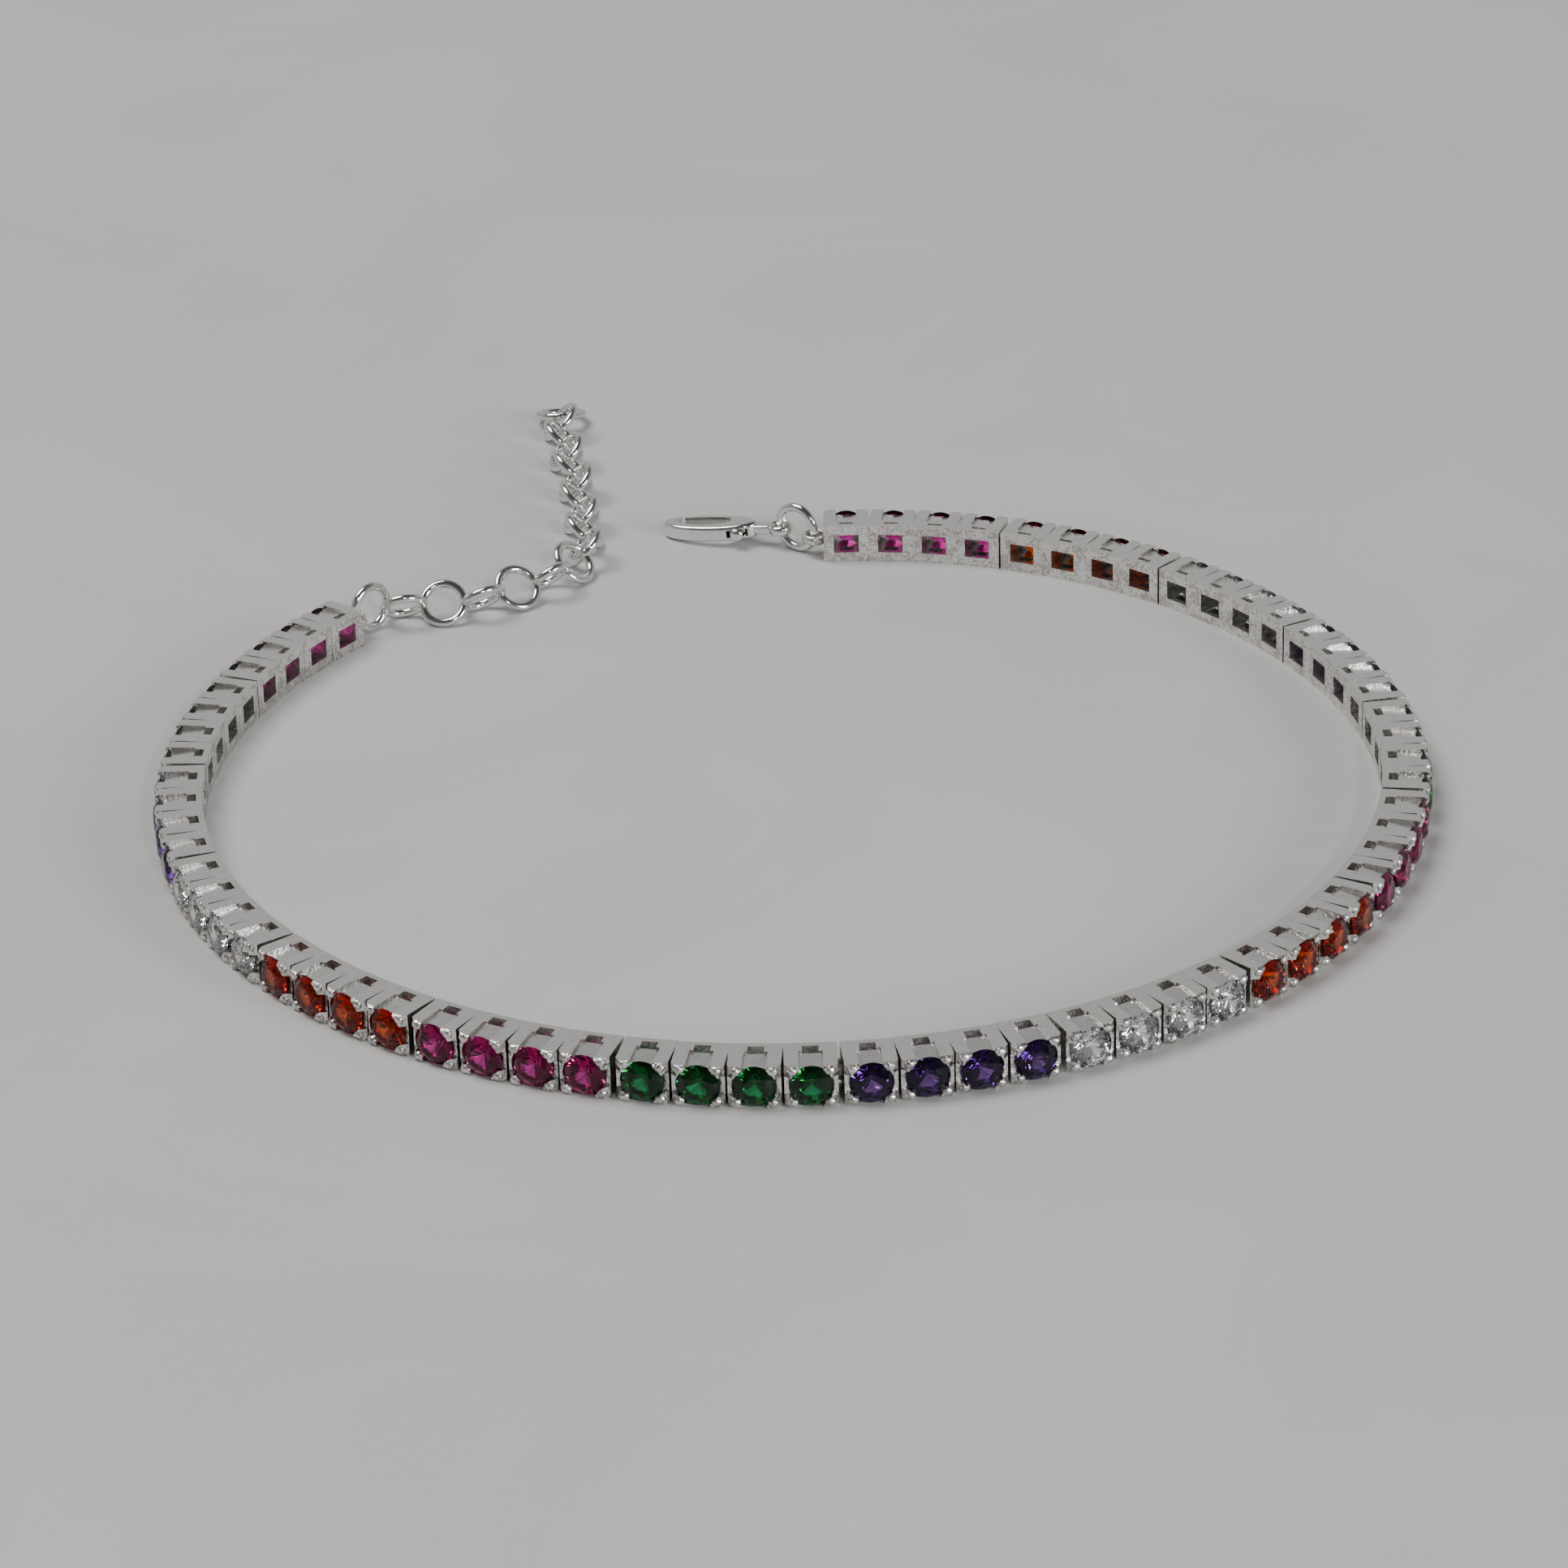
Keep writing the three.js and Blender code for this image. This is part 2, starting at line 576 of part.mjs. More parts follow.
function claspEnd(firstPlace) {
  const group = new THREE.Group();
  const loop = BOX_LENGTH / 2 + LOOP_REACH;
  const reach = ringReach();
  const back = firstPlace.heading + Math.PI;
  const ringHeading = back + degrees(CLASP_RING_TURN);
  const claspHeading = back + degrees(CLASP_TURN);
  const loopX = firstPlace.x + loop * Math.cos(back);
  const loopY = firstPlace.y + loop * Math.sin(back);
  const ring = new THREE.Group();
  ring.add(uprightRing('clasp_ring'));
  ring.rotation.z = ringHeading;
  ring.position.set(loopX + reach * Math.cos(ringHeading), loopY + reach * Math.sin(ringHeading), 0);
  const holder = new THREE.Group();
  holder.add(clasp());
  holder.rotation.z = claspHeading;
  holder.position.set(
    loopX + 2 * reach * Math.cos(ringHeading),
    loopY + 2 * reach * Math.sin(ringHeading),
    0,
  );
  group.add(ring, holder);
  return group;
}

// The whole bracelet, with its origin under the middle of its outline
function bracelet() {
  const places = linePlaces();
  const middle = Math.floor(STONE_COUNT / 2);
  const model = new THREE.Group();
  model.add(lineHalf('stone_line_clasp_half', places.slice(0, middle), true));
  model.add(lineHalf('stone_line_chain_half', places.slice(middle), false));
  model.add(claspEnd(places[0]));
  model.add(chain(places[places.length - 1]));
  model.updateMatrixWorld(true);
  const box = new THREE.Box3().setFromObject(model, true);
  const centre = box.getCenter(new THREE.Vector3());
  model.position.set(-centre.x, -centre.y, -box.min.z);
  return model;
}

const group = new THREE.Group();
group.name = 'line_bracelet';
group.add(bracelet());
group.updateMatrixWorld(true);

export default group;
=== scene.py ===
"""Looks of a line bracelet set with coloured stones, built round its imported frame.

The line of square box links stands on its edge, stones outwards, with a lobster clasp at one end
and an extension chain at the other. Sizes are in millimetres until a piece is put in its place.
"""

from __future__ import annotations

import logging
import math
import random
from dataclasses import dataclass, field
from enum import Enum

import bpy
from mathutils import Matrix, Vector

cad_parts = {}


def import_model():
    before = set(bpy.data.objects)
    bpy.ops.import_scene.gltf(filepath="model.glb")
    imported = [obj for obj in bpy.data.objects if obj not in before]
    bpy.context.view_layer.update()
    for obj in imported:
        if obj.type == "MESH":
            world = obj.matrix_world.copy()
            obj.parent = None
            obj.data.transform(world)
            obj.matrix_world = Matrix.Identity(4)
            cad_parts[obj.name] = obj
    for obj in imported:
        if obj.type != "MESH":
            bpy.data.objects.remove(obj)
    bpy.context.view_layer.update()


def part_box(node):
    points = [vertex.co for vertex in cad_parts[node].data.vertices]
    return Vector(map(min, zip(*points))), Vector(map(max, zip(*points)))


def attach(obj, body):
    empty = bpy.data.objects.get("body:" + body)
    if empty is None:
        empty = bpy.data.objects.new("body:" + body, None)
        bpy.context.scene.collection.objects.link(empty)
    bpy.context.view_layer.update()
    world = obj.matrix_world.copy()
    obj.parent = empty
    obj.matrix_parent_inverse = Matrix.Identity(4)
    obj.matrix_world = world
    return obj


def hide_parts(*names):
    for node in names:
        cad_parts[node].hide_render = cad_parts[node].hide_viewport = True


LOG = logging.getLogger("bracelet")
MM = 0.001
BRACELET_BODY = "bracelet"
LEVER_BODY = "lever"
PAST = 1.0  # how far a cutting shape runs past what it cuts
LAP = 0.001  # how far two cutting shapes that meet overlap
THROUGH = 3.0  # the height of a shape that cuts right through the clasp
ROUND = 80.0  # degrees: edges up to this are shaded smooth on round pieces
BENT = 50.0  # degrees: the same on the clasp, and what counts there as an edge to be filed

Colour = tuple[float, float, float]
Point = tuple[float, float, float]


class Axis(Enum):
    """The direction that a round tool or a rod runs in."""

    X = "X"
    Y = "Y"
    Z = "Z"


class Fit(Enum):
    """What happens to a piece where a tool's shape is fitted to it."""

    JOINED = "UNION"
    CUT = "DIFFERENCE"
    KEPT = "INTERSECT"


class StoneColour(Enum):
    """The stones' colours, in the order in which the groups follow each other from the clasp."""

    RED = "red"
    ORANGE = "orange"
    CLEAR = "clear"
    VIOLET = "violet"
    GREEN = "green"


class Bench:
    """The jeweller's bench: hand tools that shape meshes, in millimetres."""

    @staticmethod
    def clear() -> None:
        """Puts everything down: object mode, with nothing selected."""
        if bpy.context.object is not None and bpy.context.object.mode != "OBJECT":
            bpy.ops.object.mode_set(mode="OBJECT")
        bpy.ops.object.select_all(action="DESELECT")

    @staticmethod
    def pick(*pieces: bpy.types.Object) -> None:
        """Selects pieces and nothing else.

        Args:
            pieces: The pieces to select; the first becomes the active one.
        """
        Bench.clear()
        for piece in pieces:
            piece.select_set(True)
        bpy.context.view_layer.objects.active = pieces[0]

    @staticmethod
    def settle(name: str) -> bpy.types.Object:
        """Names the new piece and lets its place and turn into its mesh.

        Args:
            name: The piece's name.

        Returns:
            The piece, at the origin.
        """
        piece = bpy.context.object
        piece.name = name
        piece.data.name = name
        bpy.ops.object.transform_apply(location=True, rotation=True, scale=True)
        return piece

    @staticmethod
    def block(name: str, low: Vector | Point, high: Vector | Point) -> bpy.types.Object:
        """Saws a block between two corners.

        Args:
            name: The piece's name.
            low: Its lowest corner.
            high: Its highest corner.

        Returns:
            The block.
        """
        Bench.clear()
        low, high = Vector(low), Vector(high)
        bpy.ops.mesh.primitive_cube_add(size=1, location=(low + high) / 2, scale=high - low)
        return Bench.settle(name)

    @staticmethod
    def rod(
        name: str,
        centre: Vector,
        radius: float,
        length: float,
        axis: Axis,
        sides: int = 48,
        end_radius: float | None = None,
        stretch: Point = (1, 1, 1),
    ) -> bpy.types.Object:
        """Turns a rod, or a cone if its end has another radius.

        Args:
            name: The piece's name.
            centre: The rod's middle.
            radius: Its radius at its low end.
            length: Its length.
            axis: The direction that it runs in.
            sides: How many sides it has.
            end_radius: Its radius at its high end, if that differs.
            stretch: How far each direction is stretched before the rod is put in its place.

        Returns:
            The rod.
        """
        Bench.clear()
        turns = {Axis.X: (0, math.pi / 2, 0), Axis.Y: (-math.pi / 2, 0, 0), Axis.Z: (0, 0, 0)}
        bpy.ops.mesh.primitive_cone_add(
            vertices=sides,
            radius1=radius,
            radius2=radius if end_radius is None else end_radius,
            depth=length,
            rotation=turns[axis],
        )
        rod = Bench.settle(name)
        rod.scale = stretch
        rod.location = centre
        return Bench.settle(name)

    @staticmethod
    def ball(name: str, centre: Vector, radii: Vector, segments: int = 16) -> bpy.types.Object:
        """Makes a ball, longer one way than another if its radii differ.

        Args:
            name: The piece's name.
            centre: The ball's middle.
            radii: Its radius along each direction.
            segments: How many segments run round it.

        Returns:
            The ball.
        """
        Bench.clear()
        bpy.ops.mesh.primitive_uv_sphere_add(
            segments=segments, ring_count=segments // 2, radius=1, location=centre, scale=radii
        )
        return Bench.settle(name)

    @staticmethod
    def hoop(
        name: str, middle_radius: float, wire_radius: float, segments: int = 40, sides: int = 12
    ) -> bpy.types.Object:
        """Bends round wire into a hoop that lies flat.

        Args:
            name: The piece's name.
            middle_radius: The radius of the wire's middle line.
            wire_radius: The wire's own radius.
            segments: How many segments run round the hoop.
            sides: How many sides the wire has.

        Returns:
            The hoop, with no corner on its long axis, so that it can be pulled apart there.
        """
        Bench.clear()
        bpy.ops.mesh.primitive_torus_add(
            major_radius=middle_radius,
            minor_radius=wire_radius,
            major_segments=segments,
            minor_segments=sides,
            rotation=(0, 0, math.pi / segments),
        )
        return Bench.settle(name)

    @staticmethod
    def fit(body: bpy.types.Object, tool: bpy.types.Object, way: Fit) -> None:
        """Joins a tool's shape to a body or cuts it away, and uses the tool up.

        Args:
            body: The piece that is worked on.
            tool: The shape that is joined, cut away or kept.
            way: What happens to the body where the tool is.
        """
        Bench.pick(body)
        modifier = body.modifiers.new("fit", "BOOLEAN")
        modifier.operation = way.value
        modifier.solver = "EXACT"
        modifier.object = tool
        bpy.ops.object.modifier_apply(modifier=modifier.name)
        bpy.data.objects.remove(tool)

    @staticmethod
    def cut(body: bpy.types.Object, *tools: bpy.types.Object) -> None:
        """Cuts each tool's shape out of a body.

        Args:
            body: The piece that is worked on.
            tools: The shapes that are cut away.
        """
        for tool in tools:
            Bench.fit(body, tool, Fit.CUT)

    @staticmethod
    def solder(body: bpy.types.Object, *parts: bpy.types.Object) -> None:
        """Joins each part's shape to a body as one solid.

        Args:
            body: The piece that is worked on.
            parts: The shapes that are joined to it.
        """
        for part in parts:
            Bench.fit(body, part, Fit.JOINED)

    @staticmethod
    def round_edges(piece: bpy.types.Object, width: float, segments: int, angle: float = 35) -> None:
        """Files a piece's sharp edges round.

        Args:
            piece: The piece.
            width: How wide the rounding is.
            segments: How many faces run across it.
            angle: The smallest angle between two faces, in degrees, that counts as an edge.
        """
        Bench.pick(piece)
        modifier = piece.modifiers.new("edges", "BEVEL")
        modifier.width = width
        modifier.segments = segments
        modifier.limit_method = "ANGLE"
        modifier.angle_limit = math.radians(angle)
        bpy.ops.object.modifier_apply(modifier=modifier.name)

    @staticmethod
    def smooth(piece: bpy.types.Object, angle: float = 40) -> None:
        """Shades a piece smooth, apart from its sharp edges.

        Args:
            piece: The piece.
            angle: The angle between two faces, in degrees, from which an edge stays sharp.
        """
        Bench.pick(piece)
        bpy.ops.object.shade_smooth_by_angle(angle=math.radians(angle))

    @staticmethod
    def spread(piece: bpy.types.Object, gap: float) -> None:
        """Pulls the two halves of a hoop apart along X, which leaves straight sides between them.

        Args:
            piece: The hoop.
            gap: How far the halves end up apart.
        """
        for side in (1, -1):
            Bench.pick(piece)
            for vertex in piece.data.vertices:
                vertex.select = vertex.co.x * side > 0
            bpy.ops.object.mode_set(mode="EDIT")
            bpy.ops.mesh.select_mode(type="VERT")
            bpy.ops.transform.translate(value=(side * gap / 2, 0, 0))
            bpy.ops.object.mode_set(mode="OBJECT")

    @staticmethod
    def copy(piece: bpy.types.Object, name: str) -> bpy.types.Object:
        """Makes a copy of a piece with a mesh of its own.

        Args:
            piece: The piece to copy.
            name: The copy's name.

        Returns:
            The copy.
        """
        Bench.pick(piece)
        bpy.ops.object.duplicate(linked=False)
        twin = bpy.context.object
        twin.name = name
        twin.data.name = name
        return twin

    @staticmethod
    def place(piece: bpy.types.Object, matrix: Matrix) -> None:
        """Puts a piece in its place and lets that into its mesh.

        Args:
            piece: The piece.
            matrix: Its place, in metres, with the scale from millimetres.
        """
        Bench.pick(piece)
        piece.matrix_world = matrix
        bpy.ops.object.transform_apply(location=True, rotation=True, scale=True)

    @staticmethod
    def join(name: str, pieces: list[bpy.types.Object]) -> bpy.types.Object:
        """Gathers pieces into one mesh.

        Args:
            name: The joined piece's name.
            pieces: The pieces.

        Returns:
            The joined piece.
        """
        Bench.pick(*pieces)
        bpy.ops.object.join()
        return Bench.settle(name)

    @staticmethod
    def tidy(piece: bpy.types.Object, distance: float = 1e-4) -> None:
        """Merges doubled corners and turns all faces outwards.

        Args:
            piece: The piece.
            distance: How close two corners are that become one.
        """
        Bench.pick(piece)
        bpy.ops.object.mode_set(mode="EDIT")
        bpy.ops.mesh.select_all(action="SELECT")
        bpy.ops.mesh.remove_doubles(threshold=distance)
        bpy.ops.mesh.normals_make_consistent(inside=False)
        bpy.ops.object.mode_set(mode="OBJECT")

    @staticmethod
    def facet(piece: bpy.types.Object, point: Vector, normal: Vector) -> None:
        """Grinds a flat facet: what lies beyond the plane is cut off and the cut is closed.

        Args:
            piece: The stone.
            point: A point on the facet's plane.
            normal: The direction that the facet faces.
        """
        Bench.pick(piece)
        bpy.ops.object.mode_set(mode="EDIT")
        bpy.ops.mesh.select_all(action="SELECT")
        bpy.ops.mesh.bisect(
            plane_co=point, plane_no=normal, use_fill=True, clear_outer=True, threshold=1e-5
        )
        bpy.ops.object.mode_set(mode="OBJECT")

    @staticmethod
    def finish(piece: bpy.types.Object, material: bpy.types.Material, body: str, slot: str) -> None:
        """Gives a piece its material and says which body it belongs to.

        Args:
            piece: The finished piece.
            material: Its material.
            body: The name of the body that it moves with.
            slot: A name for the piece's finish; not used.
        """
        piece.data.materials.clear()
        piece.data.materials.append(material)
        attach(piece, body)
        piece.data.update()
        LOG.info("%s: %d faces, on %s", piece.name, len(piece.data.polygons), body)


class NodeKit:
    """Short ways to put nodes into a material or a group."""

    @staticmethod
    def add(tree: bpy.types.NodeTree, kind: str, **values: object) -> bpy.types.Node:
        """Adds a node and sets its fields.

        Args:
            tree: The node tree.
            kind: The node's type name.
            values: The node's own fields.

        Returns:
            The node.
        """
        node = tree.nodes.new(kind)
        for key, value in values.items():
            setattr(node, key, value)
        return node

    @staticmethod
    def group(name: str, inputs: dict[str, float], outputs: dict[str, str]) -> bpy.types.NodeTree:
        """Starts a node group with number inputs.

        Args:
            name: The group's name.
            inputs: Each input's name and usual value.
            outputs: Each output's name and socket type.

        Returns:
            The group, with its two end nodes named inputs and outputs.
        """
        tree = bpy.data.node_groups.new(name, "ShaderNodeTree")
        for label, value in inputs.items():
            socket = tree.interface.new_socket(label, in_out="INPUT", socket_type="NodeSocketFloat")
            socket.default_value = value
        for label, kind in outputs.items():
            tree.interface.new_socket(label, in_out="OUTPUT", socket_type=kind)
        NodeKit.add(tree, "NodeGroupInput", name="inputs")
        NodeKit.add(tree, "NodeGroupOutput", name="outputs")
        return tree

    @staticmethod
    def use(tree: bpy.types.NodeTree, group: bpy.types.NodeTree, **values: float) -> bpy.types.Node:
        """Places a group in a material with its own values.

        Args:
            tree: The material's node tree.
            group: The node group.
            values: Input values, with underscores for the spaces in their names.

        Returns:
            The group's node.
        """
        node = NodeKit.add(tree, "ShaderNodeGroup", node_tree=group)
        for key, value in values.items():
            node.inputs[key.replace("_", " ").capitalize()].default_value = value
        return node

    @staticmethod
    def reckon(
        tree: bpy.types.NodeTree, operation: str, *values: bpy.types.NodeSocket | float
    ) -> bpy.types.NodeSocket:
        """Works a value out from others.

        Args:
            tree: The node tree.
            operation: The Math node's operation.
            values: A number or the socket that gives it, for each of the operation's values.

        Returns:
            The socket that gives the result.
        """
        node = NodeKit.add(tree, "ShaderNodeMath", operation=operation)
        for place, value in zip(node.inputs, values):
            if isinstance(value, bpy.types.NodeSocket):
                tree.links.new(value, place)
            else:
                place.default_value = value
        return node.outputs[0]

    @staticmethod
    def stretch(
        tree: bpy.types.NodeTree,
        value: bpy.types.NodeSocket,
        source: tuple[float, float] = (0, 1),
        target: tuple[float, float] = (0, 1),
        soft: bool = False,
    ) -> bpy.types.NodeSocket:
        """Stretches one range of a value over another.

        Args:
            tree: The node tree.
            value: The socket that gives the value.
            source: The range that is taken.
            target: The range that comes out.
            soft: Whether it eases in and out at the ends.

        Returns:
            The socket that gives the result.
        """
        ease = "SMOOTHSTEP" if soft else "LINEAR"
        node = NodeKit.add(tree, "ShaderNodeMapRange", interpolation_type=ease)
        for label, number in zip(("From Min", "From Max", "To Min", "To Max"), (*source, *target)):
            node.inputs[label].default_value = number
        tree.links.new(value, node.inputs["Value"])
        return node.outputs["Result"]

    @staticmethod
    def blend(
        tree: bpy.types.NodeTree, share: bpy.types.NodeSocket, first: Colour, second: Colour
    ) -> bpy.types.NodeSocket:
        """Blends two colours.

        Args:
            tree: The node tree.
            share: The socket that gives the second colour's share.
            first: The first colour.
            second: The second colour.

        Returns:
            The socket that gives the colour.
        """
        node = NodeKit.add(tree, "ShaderNodeMix", data_type="RGBA")
        node.inputs["A"].default_value = (*first, 1)
        node.inputs["B"].default_value = (*second, 1)
        tree.links.new(share, node.inputs["Factor"])
        return node.outputs["Result"]


class SurfaceEffects:
    """The effects that more than one finish uses, each a shader node group built once."""

    def __init__(self) -> None:
        """Builds the groups."""
        self.grain = self._grain()
        self.smudges = self._smudges()
        self.recess = self._recess()
        self.flats = self._flats()

    @staticmethod
    def _noise(
        tree: bpy.types.NodeTree, size: bpy.types.NodeSocket, fineness: float, **values: float
    ) -> bpy.types.NodeSocket:
        """Adds noise on the piece's own coordinates.

        Args:
            tree: The group's node tree.
            size: The socket that gives the size of the noise, in metres.
            fineness: How many times finer than that size the noise is.
            values: Values of the noise node's inputs.

        Returns:
            The socket that gives the noise.
        """
        place = NodeKit.add(tree, "ShaderNodeTexCoord")
        noise = NodeKit.add(tree, "ShaderNodeTexNoise")
        for label, value in values.items():
            noise.inputs[label].default_value = value
        tree.links.new(place.outputs["Object"], noise.inputs["Vector"])
        tree.links.new(NodeKit.reckon(tree, "DIVIDE", fineness, size), noise.inputs["Scale"])
        return noise.outputs["Fac"]

    @staticmethod
    def _grain() -> bpy.types.NodeTree:
        """Builds the fine uneven skin that casting leaves.

        Returns:
            The group: Size of the grains in metres and Coarse share in, Height and Mask out.
        """
        tree = NodeKit.group(
            "cast_grain",
            {"Size": 0.0001, "Coarse share": 0.4},
            {"Height": "NodeSocketFloat", "Mask": "NodeSocketFloat"},
        )
        start, end = tree.nodes["inputs"], tree.nodes["outputs"]
        fine = SurfaceEffects._noise(tree, start.outputs["Size"], 1.0, Detail=3)
        coarse = SurfaceEffects._noise(tree, start.outputs["Size"], 0.25)
        mix = NodeKit.add(tree, "ShaderNodeMix", data_type="FLOAT")
        tree.links.new(start.outputs["Coarse share"], mix.inputs["Factor"])
        tree.links.new(fine, mix.inputs["A"])
        tree.links.new(coarse, mix.inputs["B"])
        pits = NodeKit.stretch(tree, mix.outputs["Result"], (0.47, 0.57))
        tree.links.new(mix.outputs["Result"], end.inputs["Height"])
        tree.links.new(pits, end.inputs["Mask"])
        return tree

    @staticmethod
    def _smudges() -> bpy.types.NodeTree:
        """Builds the soft marks that handling leaves.

        Returns:
            The group: Size of the marks in metres in, Mask out.
        """
        tree = NodeKit.group("handling_marks", {"Size": 0.002}, {"Mask": "NodeSocketFloat"})
        start, end = tree.nodes["inputs"], tree.nodes["outputs"]
        noise = SurfaceEffects._noise(
            tree, start.outputs["Size"], 1.0, Detail=5, Roughness=0.6, Distortion=0.8
        )
        tree.links.new(NodeKit.stretch(tree, noise, (0.38, 0.66), soft=True), end.inputs["Mask"])
        return tree

    @staticmethod
    def _recess() -> bpy.types.NodeTree:
        """Builds the mask of narrow corners, where shade is painted into the colour.

        Returns:
            The group: Depth in metres in, Mask out, which is 1 in the deepest corners.
        """
        tree = NodeKit.group("recess_shade", {"Depth": 0.0004}, {"Mask": "NodeSocketFloat"})
        start, end = tree.nodes["inputs"], tree.nodes["outputs"]
        # Occlusion marks the corners where shade is painted into the colour.
        occlusion = NodeKit.add(tree, "ShaderNodeAmbientOcclusion", samples=4, only_local=True)
        tree.links.new(start.outputs["Depth"], occlusion.inputs["Distance"])
        shade = NodeKit.stretch(tree, occlusion.outputs["AO"], (0.75, 0.15), soft=True)
        tree.links.new(shade, end.inputs["Mask"])
        return tree

    @staticmethod
    def _flats() -> bpy.types.NodeTree:
        """Builds the mask of the level faces, which the polishing wheel reaches.

        Returns:
            The group: Slope, the height of a direction that still counts as level, in and Mask out.
        """
        tree = NodeKit.group("wheel_polished_flats", {"Slope": 0.9}, {"Mask": "NodeSocketFloat"})
        start, end = tree.nodes["inputs"], tree.nodes["outputs"]
        place = NodeKit.add(tree, "ShaderNodeTexCoord")
        parts = NodeKit.add(tree, "ShaderNodeSeparateXYZ")
        tree.links.new(place.outputs["Normal"], parts.inputs[0])
        height = NodeKit.reckon(tree, "ABSOLUTE", parts.outputs["Z"])
        level = NodeKit.stretch(tree, height, soft=True)
        tree.links.new(start.outputs["Slope"], level.node.inputs["From Min"])
        tree.links.new(level, end.inputs["Mask"])
        return tree


@dataclass(frozen=True)
class SilverFinish:
    """A rhodium-plated silver finish.

    Attributes:
        name: The material's name.
        bright: The colour of the clean metal.
        dull: The colour of the grain's pits, and of the painted shade in deep corners.
        smooth: The roughness where the metal is polished best.
        rough: The roughness where it is dullest.
        grain_size: The size of the casting's grain, in metres.
        grain_height: How high the grain stands, in metres.
        pits: How much of the dull colour the grain's pits show, away from level faces.
        corner_shade: How much of the dull colour is painted into the deepest corners as shade.
        mark_size: The size of the marks that handling leaves, in metres.
        mark_share: How much of the dull roughness those marks have.
        recess_depth: How deep a corner is that gets painted shade, in metres.
        flat_slope: The height of a direction that still counts as level.
        flat_grain: The share of the grain that is left on level faces.
    """

    name: str
    bright: Colour
    dull: Colour
    smooth: float
    rough: float
    grain_size: float
    grain_height: float
    pits: float
    corner_shade: float
    mark_size: float = 0.0012
    mark_share: float = 0.3
    recess_depth: float = 0.0005
    flat_slope: float = 0.9
    flat_grain: float = 0.15

    def build(self, effects: SurfaceEffects) -> bpy.types.Material:
        """Builds the material.

        Args:
            effects: The shared node groups.

        Returns:
            The material.
        """
        material = bpy.data.materials.new(self.name)
        material.use_nodes = True
        tree = material.node_tree
        shader = tree.nodes["Principled BSDF"]
        shader.inputs["Metallic"].default_value = 1.0
        grain = NodeKit.use(tree, effects.grain, size=self.grain_size)
        marks = NodeKit.use(tree, effects.smudges, size=self.mark_size)
        recess = NodeKit.use(tree, effects.recess, depth=self.recess_depth)
        flats = NodeKit.use(tree, effects.flats, slope=self.flat_slope)
        rough_share = NodeKit.stretch(tree, flats.outputs["Mask"], target=(1.0, self.flat_grain))
        # Painted shade: the occlusion mask lays the dull colour into deep, narrow corners and raises the
        # roughness there.
        corner_shade = NodeKit.reckon(tree, "MULTIPLY", recess.outputs["Mask"], self.corner_shade)
        pitted = NodeKit.reckon(tree, "MULTIPLY", grain.outputs["Mask"], rough_share)
        dirt = NodeKit.reckon(tree, "MULTIPLY", pitted, self.pits)
        pits_and_shade = NodeKit.reckon(tree, "MAXIMUM", dirt, corner_shade)
        colour = NodeKit.blend(tree, pits_and_shade, self.bright, self.dull)
        tree.links.new(colour, shader.inputs["Base Color"])
        touched = NodeKit.reckon(tree, "MULTIPLY", marks.outputs["Mask"], self.mark_share)
        worn = NodeKit.reckon(tree, "MAXIMUM", touched, corner_shade)
        gloss = NodeKit.stretch(tree, worn, target=(self.smooth, self.rough))
        tree.links.new(gloss, shader.inputs["Roughness"])
        bump = NodeKit.add(tree, "ShaderNodeBump")
        bump.inputs["Distance"].default_value = self.grain_height
        tree.links.new(rough_share, bump.inputs["Strength"])
        tree.links.new(grain.outputs["Height"], bump.inputs["Height"])
        tree.links.new(bump.outputs["Normal"], shader.inputs["Normal"])
        return material


@dataclass(frozen=True)
class StoneFinish:
    """A cut stone's finish.

    Attributes:
        colour: Which of the stones it is for.
        tint: The colour that light takes on at the surface.
        zone: The colour of the stone's deeper coloured zones.
        body: The colour that is left after light crosses the stone.
        density: How strongly the stone takes in light, per metre.
        index: The refractive index.
        gleam: How bright the faces mirror the room when seen straight on, against plain glass.
        mark_size: The size of the marks that handling leaves, in metres.
        mark_haze: The roughness of those marks.
    """

    colour: StoneColour
    tint: Colour
    zone: Colour
    body: Colour
    density: float
    index: float = 1.77
    gleam: float = 0.3
    mark_size: float = 0.0016
    mark_haze: float = 0.035

    def build(self, effects: SurfaceEffects) -> bpy.types.Material:
        """Builds the material.

        Args:
            effects: The shared node groups.

        Returns:
            The material.
        """
        material = bpy.data.materials.new(f"{self.colour.value}_stone")
        material.use_nodes = True
        tree = material.node_tree
        shader = tree.nodes["Principled BSDF"]
        shader.inputs["Transmission Weight"].default_value = 1.0
        shader.inputs["IOR"].default_value = self.index
        shader.inputs["Specular Tint"].default_value = (self.gleam, self.gleam, self.gleam, 1)
        marks = NodeKit.use(tree, effects.smudges, size=self.mark_size)
        colour = NodeKit.blend(tree, marks.outputs["Mask"], self.tint, self.zone)
        tree.links.new(colour, shader.inputs["Base Color"])
        haze = NodeKit.stretch(tree, marks.outputs["Mask"], target=(0.0, self.mark_haze))
        tree.links.new(haze, shader.inputs["Roughness"])
        inside = NodeKit.add(tree, "ShaderNodeVolumeAbsorption")
        inside.inputs["Color"].default_value = (*self.body, 1)
        inside.inputs["Density"].default_value = self.density
        tree.links.new(inside.outputs["Volume"], tree.nodes["Material Output"].inputs["Volume"])
        return material


